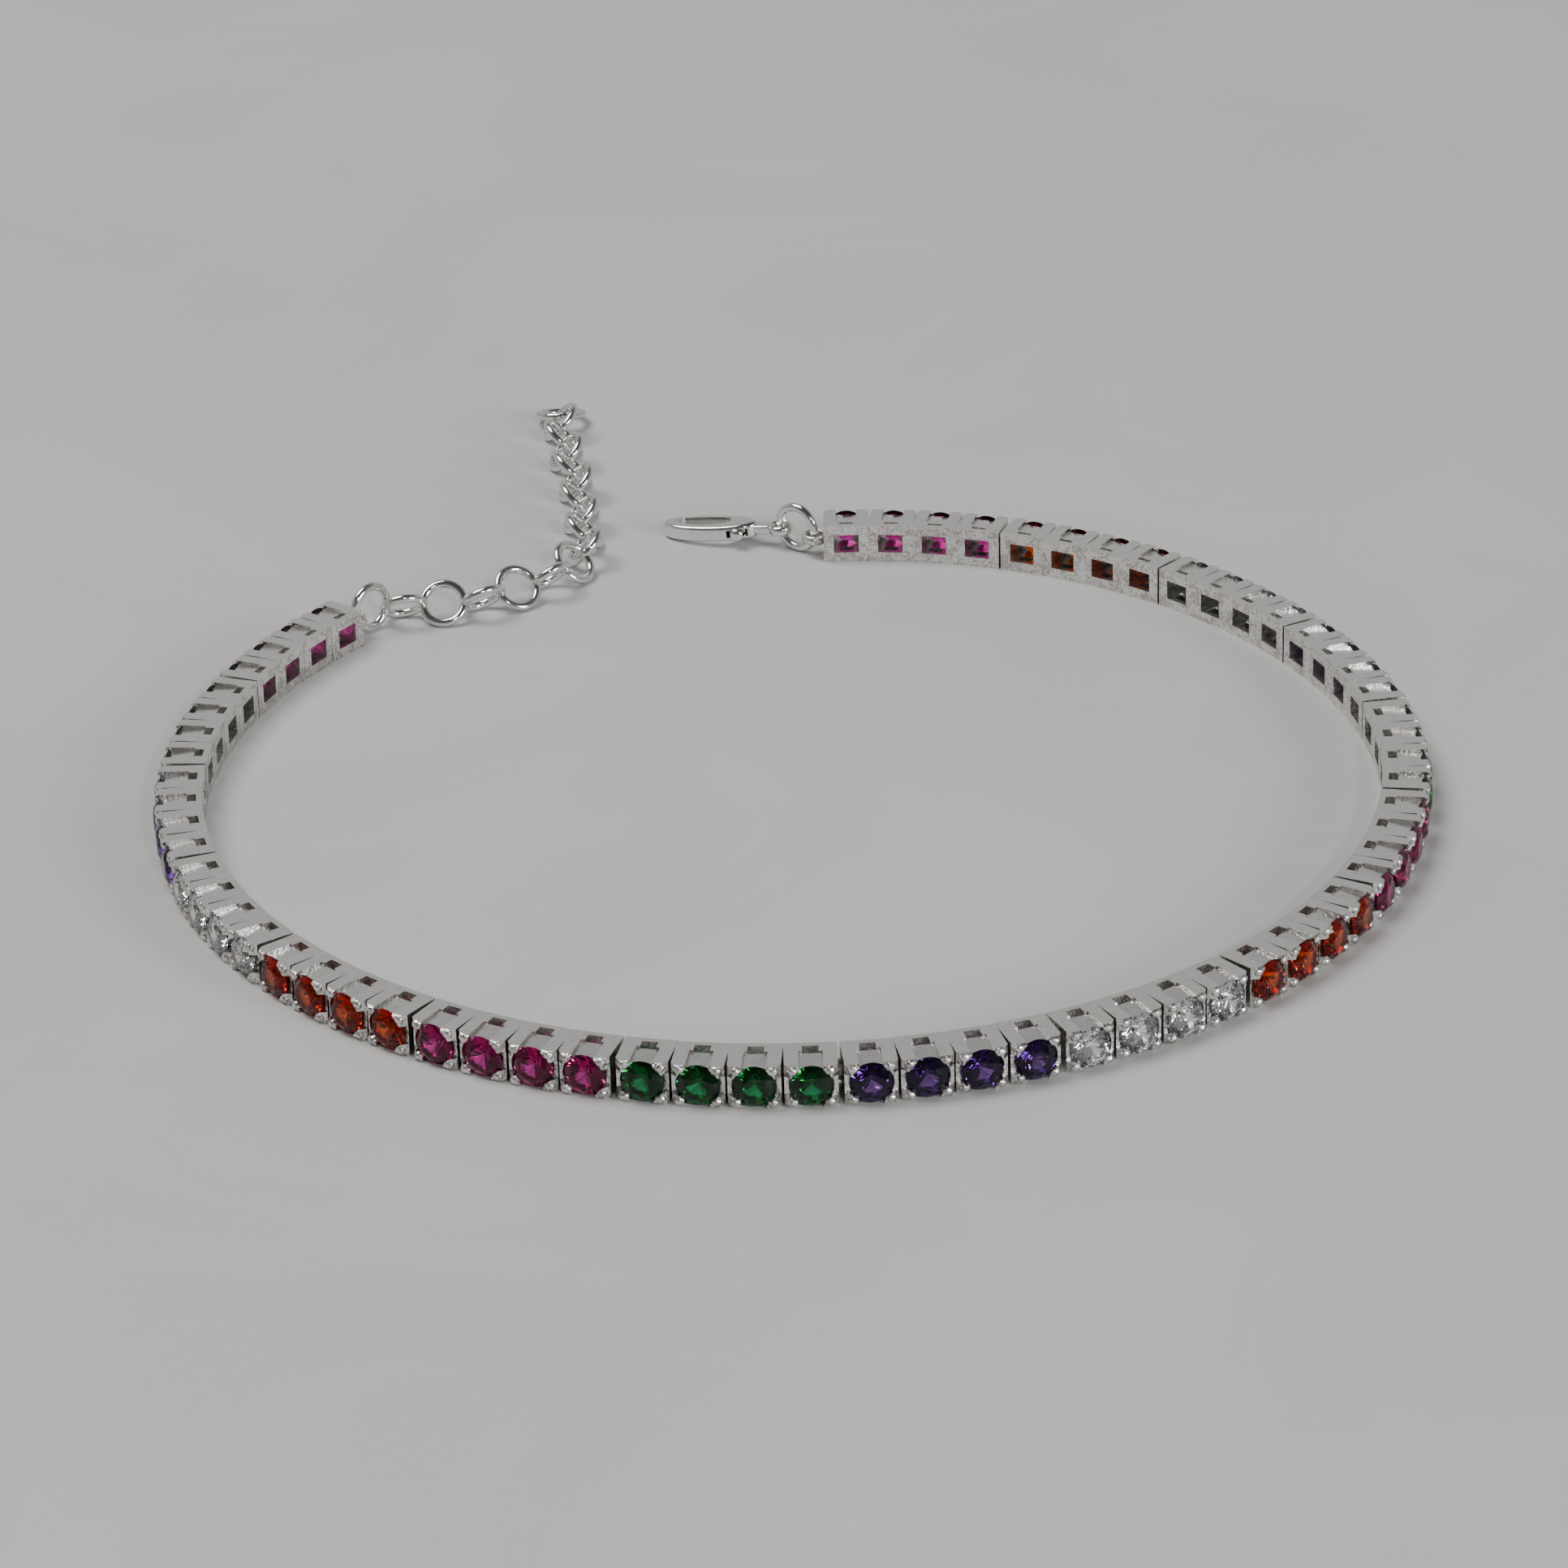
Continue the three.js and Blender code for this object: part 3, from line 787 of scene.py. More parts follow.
@dataclass(frozen=True)
class FloorFinish:
    """The plain pale floor's finish.

    Attributes:
        pale: Its colour.
        paler: Its colour in the clouds.
        roughness: Its roughness.
        cloud_size: The size of the clouds, in metres.
    """

    pale: Colour = (0.47, 0.465, 0.455)
    paler: Colour = (0.5, 0.495, 0.485)
    roughness: float = 0.6
    cloud_size: float = 0.03

    def build(self, effects: SurfaceEffects) -> bpy.types.Material:
        """Builds the material.

        Args:
            effects: The shared node groups.

        Returns:
            The material.
        """
        material = bpy.data.materials.new("pale_floor")
        material.use_nodes = True
        tree = material.node_tree
        shader = tree.nodes["Principled BSDF"]
        shader.inputs["Roughness"].default_value = self.roughness
        clouds = NodeKit.use(tree, effects.smudges, size=self.cloud_size)
        colour = NodeKit.blend(tree, clouds.outputs["Mask"], self.pale, self.paler)
        tree.links.new(colour, shader.inputs["Base Color"])
        return material


@dataclass
class Finishes:
    """Every finish on the bracelet, built once.

    Attributes:
        effects: The shared node groups.
    """

    effects: SurfaceEffects = field(default_factory=SurfaceEffects)

    def __post_init__(self) -> None:
        """Builds the silver materials and the stones' materials."""
        self.cast = SilverFinish(
            name="cast_silver",
            bright=(0.82, 0.81, 0.8),
            dull=(0.2, 0.17, 0.14),
            smooth=0.22,
            rough=0.42,
            grain_size=0.00013,
            grain_height=0.00006,
            pits=0.55,
            corner_shade=0.75,
        ).build(self.effects)
        self.polished = SilverFinish(
            name="polished_silver",
            bright=(0.8, 0.79, 0.78),
            dull=(0.3, 0.28, 0.26),
            smooth=0.09,
            rough=0.3,
            grain_size=0.0002,
            grain_height=0.000004,
            pits=0.0,
            corner_shade=0.5,
        ).build(self.effects)
        self.wire = SilverFinish(
            name="silver_wire",
            bright=(0.76, 0.75, 0.74),
            dull=(0.3, 0.28, 0.26),
            smooth=0.1,
            rough=0.32,
            grain_size=0.00016,
            grain_height=0.000004,
            pits=0.0,
            corner_shade=0.45,
        ).build(self.effects)
        stones = (
            StoneFinish(
                StoneColour.RED,
                tint=(1, 0.35, 0.85),
                zone=(0.95, 0.15, 0.65),
                body=(0.78, 0.01, 0.58),
                density=1900,
            ),
            StoneFinish(
                StoneColour.ORANGE,
                tint=(1, 0.6, 0.12),
                zone=(1, 0.46, 0.04),
                body=(0.89, 0.4, 0.002),
                density=3000,
                gleam=0.25,
            ),
            StoneFinish(
                StoneColour.CLEAR,
                tint=(1, 1, 1),
                zone=(0.97, 0.98, 1),
                body=(0.96, 0.98, 1),
                density=60,
                index=2.15,
                gleam=1.0,
            ),
            StoneFinish(
                StoneColour.VIOLET,
                tint=(0.68, 0.48, 0.9),
                zone=(0.53, 0.32, 0.75),
                body=(0.37, 0.115, 0.5),
                density=2050,
            ),
            StoneFinish(
                StoneColour.GREEN,
                tint=(0.1, 0.9, 0.5),
                zone=(0.04, 0.75, 0.38),
                body=(0.001, 0.45, 0.15),
                density=1800,
            ),
        )
        self.stones = {finish.colour: finish.build(self.effects) for finish in stones}


@dataclass
class LinkPlace:
    """Where a link stands in the line.

    Attributes:
        x: Along the surface, in millimetres.
        y: Along the surface, in millimetres.
        heading: The direction of the line there, in radians.
    """

    x: float
    y: float
    heading: float


@dataclass
class LineRoute:
    """The route of the line of links as it lies.

    Attributes:
        stone_count: How many stones the line holds.
        pitch: From one stone's middle to the next.
        group_size: How many stones of one colour follow each other.
        group_pull: How far neighbours in a group stand closer together than on average.
        heading: The first link's direction, in degrees.
        stretches: The number of stones and the bend radius in links, for each stretch.
        middle_height: From the surface to the line's middle.
        wander: How far a link strays along the line, in millimetres.
        lift: How far a link may stand above the surface, in millimetres.
        twist: How far a link turns out of line, in degrees.
        seed: Where the draws of both start.
    """

    stone_count: int = 64
    pitch: float = 2.45
    group_size: int = 4
    group_pull: float = 0.04
    heading: float = -1.2
    stretches: tuple[tuple[int, float], ...] = ((7, 10.2), (8, 12.2), (16, 11.8), (16, 12.1), (16, 12.0))
    middle_height: float = 1.02
    wander: float = 0.02
    lift: float = 0.012
    twist: float = 0.7
    seed: int = 7

    def __post_init__(self) -> None:
        """Works out where every link stands, before the frame's origin is known."""
        bends = [-1 / radius for count, radius in self.stretches for _ in range(count)]
        places = [LinkPlace(0, 0, math.radians(self.heading))]
        for i in range(1, self.stone_count):
            last = places[-1]
            bend = bends[min(i - 1, len(bends) - 1)]
            middle = last.heading + bend / 2
            x = last.x + self.pitch * math.cos(middle)
            y = last.y + self.pitch * math.sin(middle)
            places.append(LinkPlace(x, y, last.heading + bend))
        self.places = places

    def shift(self, x: float, y: float) -> None:
        """Moves the whole route, so that it lies where the frame's line does.

        Args:
            x: How far along X, in millimetres.
            y: How far along Y, in millimetres.
        """
        for place in self.places:
            place.x += x
            place.y += y

    def matrices(self) -> list[Matrix]:
        """Gives each link's place, with the small irregularities of a real line.

        Returns:
            A matrix for each link, from its own frame in millimetres to metres.
        """
        draws = random.Random(self.seed)
        matrices = []
        for i, place in enumerate(self.places):
            number = i % self.group_size
            along = (self.group_size / 2 - 0.5 - number) * self.group_pull
            if i not in (0, self.stone_count - 1):
                along += draws.uniform(-self.wander, self.wander)
            turn = place.heading + math.radians(draws.uniform(-self.twist, self.twist))
            x = place.x + along * math.cos(place.heading)
            y = place.y + along * math.sin(place.heading)
            height = self.middle_height + draws.uniform(0, self.lift)
            spot = Matrix.Translation((x * MM, y * MM, height * MM))
            matrices.append(spot @ Matrix.Rotation(turn, 4, "Z") @ Matrix.Scale(MM, 4))
        return matrices

    def colour(self, number: int) -> StoneColour:
        """Gives the colour of a stone.

        Args:
            number: The stone's number, counted from 0 at the clasp's end.

        Returns:
            Its colour.
        """
        colours = list(StoneColour)
        return colours[(number // self.group_size) % len(colours)]


@dataclass
class Brilliant:
    """The round brilliant cut, ground facet by facet from a round blank.

    Attributes:
        radius: The stone's radius at its girdle.
        table_radius: From the middle to a corner of the table.
        crown_height: From the girdle to the table.
        pavilion_depth: From the girdle to the point.
        girdle: The girdle's thickness.
        star_share: How far the star facets reach from the table to the girdle.
        lower_share: How far the lower halves reach from the girdle to the point.
        offset: From the line's middle outwards to the girdle.
        blank_sides: How many sides the round blank has.
        spare_high: How many times higher the blank is than the crown.
        spare_low: How many times deeper it is than the pavilion.
    """

    radius: float = 1.0
    table_radius: float = 0.56
    crown_height: float = 0.32
    pavilion_depth: float = 0.86
    girdle: float = 0.035
    star_share: float = 0.5
    lower_share: float = 0.76
    offset: float = 1.12
    blank_sides: int = 48
    spare_high: float = 1.1
    spare_low: float = 1.05

    def build(self) -> bpy.types.Object:
        """Grinds the stone in its link's frame.

        Returns:
            The stone, its table facing along Y.
        """
        half = self.girdle / 2
        low = self.pavilion_depth * self.spare_low
        high = self.crown_height * self.spare_high
        stone = Bench.rod(
            "stone", Vector((0, 0, (high - low) / 2)), self.radius, high + low, Axis.Z, self.blank_sides
        )
        rise = self.crown_height - half
        drop = self.pavilion_depth - half
        eighth = math.pi / 4
        corner = math.cos(eighth / 2)
        main_slope = rise / (self.radius - self.table_radius)
        star_inner = self.table_radius * corner
        star_outer = star_inner + self.star_share * (self.radius - star_inner)
        star_height = (self.radius - star_outer * corner) * main_slope
        star_slope = (rise - star_height) / (star_outer - star_inner)
        half_corner = math.cos(eighth / 4)
        half_slope = star_height / ((self.radius - star_outer) * half_corner)
        deep_slope = drop / self.radius
        lower_inner = self.radius * (1 - self.lower_share)
        lower_height = (self.radius - lower_inner * corner) * deep_slope
        lower_slope = lower_height / ((self.radius - lower_inner) * half_corner)
        for i in range(8):
            turn = i * eighth
            self._grind(stone, turn, self.radius, half, main_slope)
            self._grind(stone, turn, self.radius, -half, -deep_slope)
        for i in range(16):
            turn = (i + 0.5) * eighth / 2
            self._grind(stone, turn, self.radius * half_corner, half, half_slope)
            self._grind(stone, turn, self.radius * half_corner, -half, -lower_slope)
        for i in range(8):
            turn = (i + 0.5) * eighth
            self._grind(stone, turn, star_inner, self.crown_height, star_slope)
        Bench.facet(stone, Vector((0, 0, self.crown_height)), Vector((0, 0, 1)))
        Bench.tidy(stone)
        upright = Matrix.Translation((0, self.offset, 0)) @ Matrix.Rotation(-math.pi / 2, 4, "X")
        Bench.place(stone, upright)
        return stone

    @staticmethod
    def _grind(stone: bpy.types.Object, turn: float, reach: float, height: float, slope: float) -> None:
        """Grinds one sloping facet.

        Args:
            stone: The stone.
            turn: The facet's direction round the stone, in radians.
            reach: How far out the facet's plane meets the given height.
            height: That height.
            slope: How fast the plane falls outwards; below 0 it faces down.
        """
        side = 1 if slope > 0 else -1
        point = Vector((reach * math.cos(turn), reach * math.sin(turn), height))
        steep = abs(slope)
        normal = Vector((steep * math.cos(turn), steep * math.sin(turn), side))
        Bench.facet(stone, point, normal.normalized())


@dataclass
class Knuckle:
    """The hinge between two links: a tab that reaches into the next one, with its pin.

    Attributes:
        root: How far the tab is let into its own link.
        length: The tab's length.
        inner: From the line's middle to the tab's inner face.
        outer: From the line's middle to its outer face.
        half_height: Half of its height.
        edge: How wide its edges are rounded.
        pin_radius: The pin's radius.
        pin_length: The pin's length.
    """

    root: float = 0.15
    length: float = 0.42
    inner: float = -0.5
    outer: float = -0.1
    half_height: float = 0.35
    edge: float = 0.06
    pin_radius: float = 0.11
    pin_length: float = 1.0

    def build(self, wall: float) -> list[bpy.types.Object]:
        """Makes the tab and its pin in the link's frame.

        Args:
            wall: From the link's middle to its end wall.

        Returns:
            The tab and the pin.
        """
        start = wall - self.root
        low = (start, self.inner, -self.half_height)
        tab = Bench.block("tab", low, (start + self.length, self.outer, self.half_height))
        Bench.round_edges(tab, self.edge, 2)
        Bench.smooth(tab)
        centre = Vector((start + self.length / 2, (self.inner + self.outer) / 2, 0))
        pin = Bench.rod("pin", centre, self.pin_radius, self.pin_length, Axis.Z, sides=12)
        Bench.smooth(pin)
        return [tab, pin]


@dataclass
class BoxSetting:
    """One link: a cast box with four prongs, open to its stone above, below and behind.

    Its frame has X along the line, Y outwards and Z up, with the origin in the box's middle height.

    Attributes:
        half_length: Half of the box's length along the line.
        half_height: Half of its height.
        back: From the line's middle inwards to the face against the wrist.
        tip: From the line's middle outwards to the prongs' tips.
        seat_gap: The room between the stone and its seat.
        notch_half: Half of the width of the notch between two prongs.
        side_notch_half: Half of the height of the notch in a side wall.
        side_drop: How far that notch's floor lies below the girdle.
        step: How far the crossbar's inner end lies below the legs.
        step_fall: How much further down its outer end lies, at the stone.
        slot_half: Half of the length of the slot behind the crossbar.
        slot_start: From the line's middle to the slot's inner end.
        slot_end: From the line's middle to the slot's outer end.
        slot_share: Where the slot's bottom is, as a share of the window's half height.
        window_half_length: Half of the length of the window at the back.
        window_half_height: Half of that window's height.
        edge: How wide the edges are rounded.
        bore_drop: How far the seat's bore ends below the girdle.
        cone_drop: How far the seat's cone lies below the stone's.
        cone_point: The cone's radius at its point.
        claw_spot: A claw's place, along the line and up from the stone's middle.
        claw_drop: How far a claw's middle lies below the prongs' tips.
        claw: The radius of a prong's rounded claw.
        claw_shape: How far a claw is stretched along the line, outwards and up.
        file_tilt: How far the filed ends face outwards, against how far they face sideways.
        lean: How far the prongs' ends are filed back at the upper and lower faces.
        side_lean: How far they are filed back at the side walls.
        knuckle: The hinge to the next link.
        stone: The stone that it holds.
    """

    half_length: float = 1.19
    half_height: float = 1.02
    back: float = -0.95
    tip: float = 1.3
    seat_gap: float = 0.012
    notch_half: float = 0.54
    side_notch_half: float = 0.46
    side_drop: float = 0.14
    step: float = 0.12
    step_fall: float = 0.1
    slot_half: float = 0.37
    slot_start: float = -0.66
    slot_end: float = -0.2
    slot_share: float = 0.6
    window_half_length: float = 0.65
    window_half_height: float = 0.5
    edge: float = 0.035
    bore_drop: float = 0.03
    cone_drop: float = 0.025
    cone_point: float = 0.01
    claw_spot: tuple[float, float] = (0.82, 0.78)
    claw_drop: float = 0.13
    claw: float = 0.23
    claw_shape: Point = (1.15, 0.85, 1.0)
    file_tilt: float = 0.9
    lean: float = 0.1
    side_lean: float = 0.3
    knuckle: Knuckle = field(default_factory=Knuckle)
    stone: Brilliant = field(default_factory=Brilliant)

    def build(self) -> bpy.types.Object:
        """Carves and files the box and gives it its claws.

        Returns:
            The setting.
        """
        length, height = self.half_length, self.half_height
        box = Bench.block("setting", (-length, self.back, -height), (length, self.tip, height))
        self._file_tips(box)
        for side in (1, -1):
            self._open_wall(box, side)
        self._open_back(box)
        self._cut_seat(box)
        self._open_sides(box)
        Bench.round_edges(box, self.edge, 2)
        Bench.tidy(box)
        Bench.smooth(box)
        return Bench.join("setting", [box, *self._claws(), *self.knuckle.build(self.half_length)])

    def _file_tips(self, box: bpy.types.Object) -> None:
        """Files the outer corners of the box back, so that the prongs lean in.

        Args:
            box: The box.
        """
        sides, walls = self.side_lean, self.lean
        for x, z, lean in ((1, 0, sides), (-1, 0, sides), (0, 1, walls), (0, -1, walls)):
            point = Vector((x * self.half_length, self.tip - lean, z * self.half_height))
            Bench.facet(box, point, Vector((x, self.file_tilt, z)).normalized())

    def _open_wall(self, box: bpy.types.Object, side: int) -> None:
        """Cuts the notch, the stepped crossbar and the slot of the upper or lower wall.

        Args:
            box: The box.
            side: 1 for the upper wall and -1 for the lower.
        """
        outside = side * (self.half_height + PAST)
        top = self.half_height - self.step
        floor = side * (top - self.step_fall)
        inside = side * self.window_half_height * self.slot_share
        low = Vector((-self.notch_half, self.slot_end, min(outside, floor)))
        high = Vector((self.notch_half, self.tip + PAST, max(outside, floor)))
        step = Bench.block("step", low, high)
        fall = self.step_fall / (self.stone.offset - self.slot_end)
        down = Vector((0, -fall, -side)).normalized()
        Bench.facet(step, Vector((0, self.slot_end, side * top)), down)
        slot_low = Vector((-self.slot_half, self.slot_start, min(outside, inside)))
        slot_high = Vector((self.slot_half, self.slot_end + LAP, max(outside, inside)))
        slot = Bench.block("slot", slot_low, slot_high)
        Bench.cut(box, step, slot)

    def _open_back(self, box: bpy.types.Object) -> None:
        """Cuts the window against the wrist, right through to the stone's seat.

        Args:
            box: The box.
        """
        length, height = self.window_half_length, self.window_half_height
        low = (-length, self.back - PAST, -height)
        high = (length, self.stone.offset - self.stone.pavilion_depth / 2, height)
        window = Bench.block("window", low, high)
        Bench.cut(box, window)

    def _cut_seat(self, box: bpy.types.Object) -> None:
        """Bores the round seat with its cone for the stone's pavilion.

        Args:
            box: The box.
        """
        radius = self.stone.radius + self.seat_gap
        length = 2 * PAST
        middle = Vector((0, self.stone.offset + length / 2 - self.bore_drop, 0))
        bore = Bench.rod("bore", middle, radius, length, Axis.Y)
        start = self.stone.offset - self.stone.pavilion_depth
        middle = Vector((0, (start + self.stone.offset) / 2 - self.cone_drop, 0))
        cone = Bench.rod(
            "cone", middle, self.cone_point, self.stone.pavilion_depth, Axis.Y, end_radius=radius
        )
        Bench.cut(box, bore, cone)

    def _open_sides(self, box: bpy.types.Object) -> None:
        """Cuts the side walls down past the girdle between the upper and lower prongs.

        Args:
            box: The box.
        """
        reach, height = self.half_length + PAST, self.side_notch_half
        low = (-reach, self.stone.offset - self.side_drop, -height)
        notch = Bench.block("side_notch", low, (reach, self.tip + PAST, height))
        Bench.cut(box, notch)

    def _claws(self) -> list[bpy.types.Object]:
        """Makes the four rounded claws that are pressed over the stone's edge.

        Returns:
            The claws.
        """
        claws = []
        for x in (1, -1):
            for z in (1, -1):
                spot = (x * self.claw_spot[0], self.tip - self.claw_drop, z * self.claw_spot[1])
                radii = Vector([self.claw * stretch for stretch in self.claw_shape])
                claw = Bench.ball("claw", Vector(spot), radii)
                Bench.smooth(claw, ROUND)
                claws.append(claw)
        return claws


@dataclass
class EndLoop:
    """The flat loop at each end of the line that a ring passes through.

    Attributes:
        hole_radius: The hole's radius.
        width: The width of the metal round the hole.
        thickness: The loop's height.
        root: How far the loop is let into its wall.
        wall: From the end link's middle to its end wall in the frame.
    """

    hole_radius: float = 0.395
    width: float = 0.28
    thickness: float = 0.5
    root: float = 0.12
    wall: float = 1.115

    @property
    def reach(self) -> float:
        """The distance from the end link's middle to the hole's middle."""
        return self.wall + self.hole_radius + self.width - self.root

    def build(self, name: str, side: int) -> bpy.types.Object:
        """Makes the loop in its end link's frame.

        Args:
            name: The piece's name.
            side: 1 for the end towards the chain and -1 for the other.

        Returns:
            The loop.
        """
        middle = self.hole_radius + self.width / 2
        loop = Bench.hoop(name, middle, self.width / 2)
        stretch = Matrix.Diagonal((1, 1, self.thickness / self.width, 1))
        Bench.place(loop, Matrix.Translation((side * self.reach, 0, 0)) @ stretch)
        Bench.smooth(loop, ROUND)
        return loop


@dataclass
class StoneLine:
    """The line itself: its links, its end loops and its stones.

    Attributes:
        route: Where the links stand.
        loop: The loop at each end.
        finishes: The bracelet's materials.
        setting: The link that is repeated, with its stone.
    """

    route: LineRoute
    loop: EndLoop
    finishes: Finishes
    setting: BoxSetting = field(default_factory=BoxSetting)

    def __post_init__(self) -> None:
        """Draws every link's place."""
        self.matrices = self.route.matrices()

    def build_settings(self) -> None:
        """Builds the two halves of the line, each a joined mesh of its links."""
        model = self.setting.build()
        middle = len(self.matrices) // 2
        self._build_half("clasp_half", model, self.matrices[:middle], -1)
        self._build_half("chain_half", model, self.matrices[middle:], 1)
        bpy.data.objects.remove(model)

    def _build_half(self, name: str, model: bpy.types.Object, matrices: list[Matrix], side: int) -> None:
        """Builds one half of the line.

        Args:
            name: The last part of its name and its node's.
            model: The link that is repeated.
            matrices: Its links' places.
            side: 1 for the half towards the chain and -1 for the other.
        """
        end = self.loop.build("end_loop", side)
        links = []
        for matrix in matrices:
            link = Bench.copy(model, "link")
            Bench.place(link, matrix)
            links.append(link)
        Bench.place(end, matrices[-1] if side > 0 else matrices[0])
        half = Bench.join(f"settings_{name}", [*links, end])
        Bench.finish(half, self.finishes.cast, BRACELET_BODY, "cast_silver")
        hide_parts(f"stone_line_{name}")

    def build_stones(self) -> None:
        """Builds the stones, each colour a joined mesh."""
        model = self.setting.stone.build()
        draws = random.Random(self.route.seed + 1)
        for colour in StoneColour:
            stones = []
            for i, matrix in enumerate(self.matrices):
                turn = draws.uniform(0, math.pi / 4)
                if self.route.colour(i) is not colour:
                    continue
                stone = Bench.copy(model, "stone")
                Bench.place(stone, matrix @ Matrix.Rotation(turn, 4, "Y"))
                stones.append(stone)
            group = Bench.join(f"{colour.value}_stones", stones)
            Bench.finish(group, self.finishes.stones[colour], BRACELET_BODY, f"{colour.value}_stone")
        bpy.data.objects.remove(model)


@dataclass
class Chain:
    """The extension chain and the rings at both ends of the line.

    Attributes:
        ring_diameter: A ring's outer diameter.
        ring_wire: A ring's wire diameter.
        link_length: A link's outer length.
        link_width: A link's outer width.
        link_wire: A link's wire diameter.
        link_roll: How far each link leans, in degrees, one way and the other in turn.
        end_diameter: The last ring's outer diameter.
        end_pitch: How far the last ring slopes down to the surface, in degrees.
        turns: How far each link's run is turned from the line's last run, in degrees.
        ring_turn: The same for the ring between the line and the chain.
        end_turn: The same for the last ring.
        clasp_ring_turn: How far the clasp ring's run is turned from the line's first run.
    """

    ring_diameter: float = 2.7
    ring_wire: float = 0.45
    link_length: float = 3.1
    link_width: float = 2.6
    link_wire: float = 0.45
    link_roll: float = 45
    end_diameter: float = 2.9
    end_pitch: float = 17
    turns: tuple[float, ...] = (-40, -54, -22, -18, -7, 9, 37, 43, 44, 41, 44, 47, 47, 43, 40)
    ring_turn: float = -6
    end_turn: float = 38
    clasp_ring_turn: float = -36

    def clasp_run(self, route: LineRoute, loop: EndLoop, steps: int) -> tuple[float, float]:
        """Gives a place on the run of the ring between the line and the clasp.

        Args:
            route: Where the line starts.
            loop: The end loop that the ring passes through.
            steps: 0 for the loop's hole, 1 for the ring's middle and 2 for its far side.

        Returns:
            The place along X and along Y, in millimetres.
        """
        first = route.places[0]
        back = first.heading + math.pi
        heading = back + math.radians(self.clasp_ring_turn)
        middle_radius = (self.ring_diameter - self.ring_wire) / 2
        drop = self.ring_diameter / 2 - route.middle_height
        reach = steps * math.sqrt(middle_radius**2 - drop**2)
        x = first.x + loop.reach * math.cos(back) + reach * math.cos(heading)
        y = first.y + loop.reach * math.sin(back) + reach * math.sin(heading)
        return x, y

    def build(self, route: LineRoute, finishes: Finishes) -> None:
        """Bends, places and dresses every ring and link.

        Args:
            route: Where the line's ends are.
            finishes: The bracelet's materials.
        """
        upright = Matrix.Rotation(math.pi / 2, 4, "X")
        ring = self._wire_ring("ring", self.ring_diameter, self.ring_diameter, self.ring_wire)
        link = self._wire_ring("link", self.link_length, self.link_width, self.link_wire)
        last = self._wire_ring("last", self.end_diameter, self.end_diameter, self.link_wire)
        end_heading = route.places[-1].heading
        start_heading = route.places[0].heading + math.pi
        pieces = [
            ("clasp_ring", ring, start_heading + math.radians(self.clasp_ring_turn), upright),
            ("chain_ring", ring, end_heading + math.radians(self.ring_turn), upright),
        ]
        for i, turn in enumerate(self.turns):
            roll = -self.link_roll if i % 2 == 0 else self.link_roll
            lean = Matrix.Rotation(math.radians(roll), 4, "X")
            heading = end_heading + math.radians(turn)
            pieces.append((f"chain_link_{i + 1:02d}", link, heading, lean))
        slope = Matrix.Rotation(math.radians(self.end_pitch), 4, "Y")
        pieces.append(("chain_end_ring", last, end_heading + math.radians(self.end_turn), slope))
        for node, model, heading, lean in pieces:
            piece = Bench.copy(model, f"{node}_wire")
            low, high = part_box(node)
            centre = Matrix.Translation((Vector(low) + Vector(high)) / 2)
            Bench.place(piece, centre @ Matrix.Rotation(heading, 4, "Z") @ lean @ Matrix.Scale(MM, 4))
            Bench.finish(piece, finishes.wire, BRACELET_BODY, "silver_wire")
            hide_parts(node)
        for model in (ring, link, last):
            bpy.data.objects.remove(model)

    @staticmethod
    def _wire_ring(name: str, length: float, width: float, wire: float) -> bpy.types.Object:
        """Bends one ring or link of round wire, its length along X.

        Args:
            name: The piece's name.
            length: Its outer length.
            width: Its outer width.
            wire: The wire's diameter.

        Returns:
            The ring or link.
        """
        middle = (width - wire) / 2
        ring = Bench.hoop(name, middle, wire / 2, segments=44, sides=14)
        if length > width:
            Bench.spread(ring, length - width)
        Bench.smooth(ring, ROUND)
        return ring


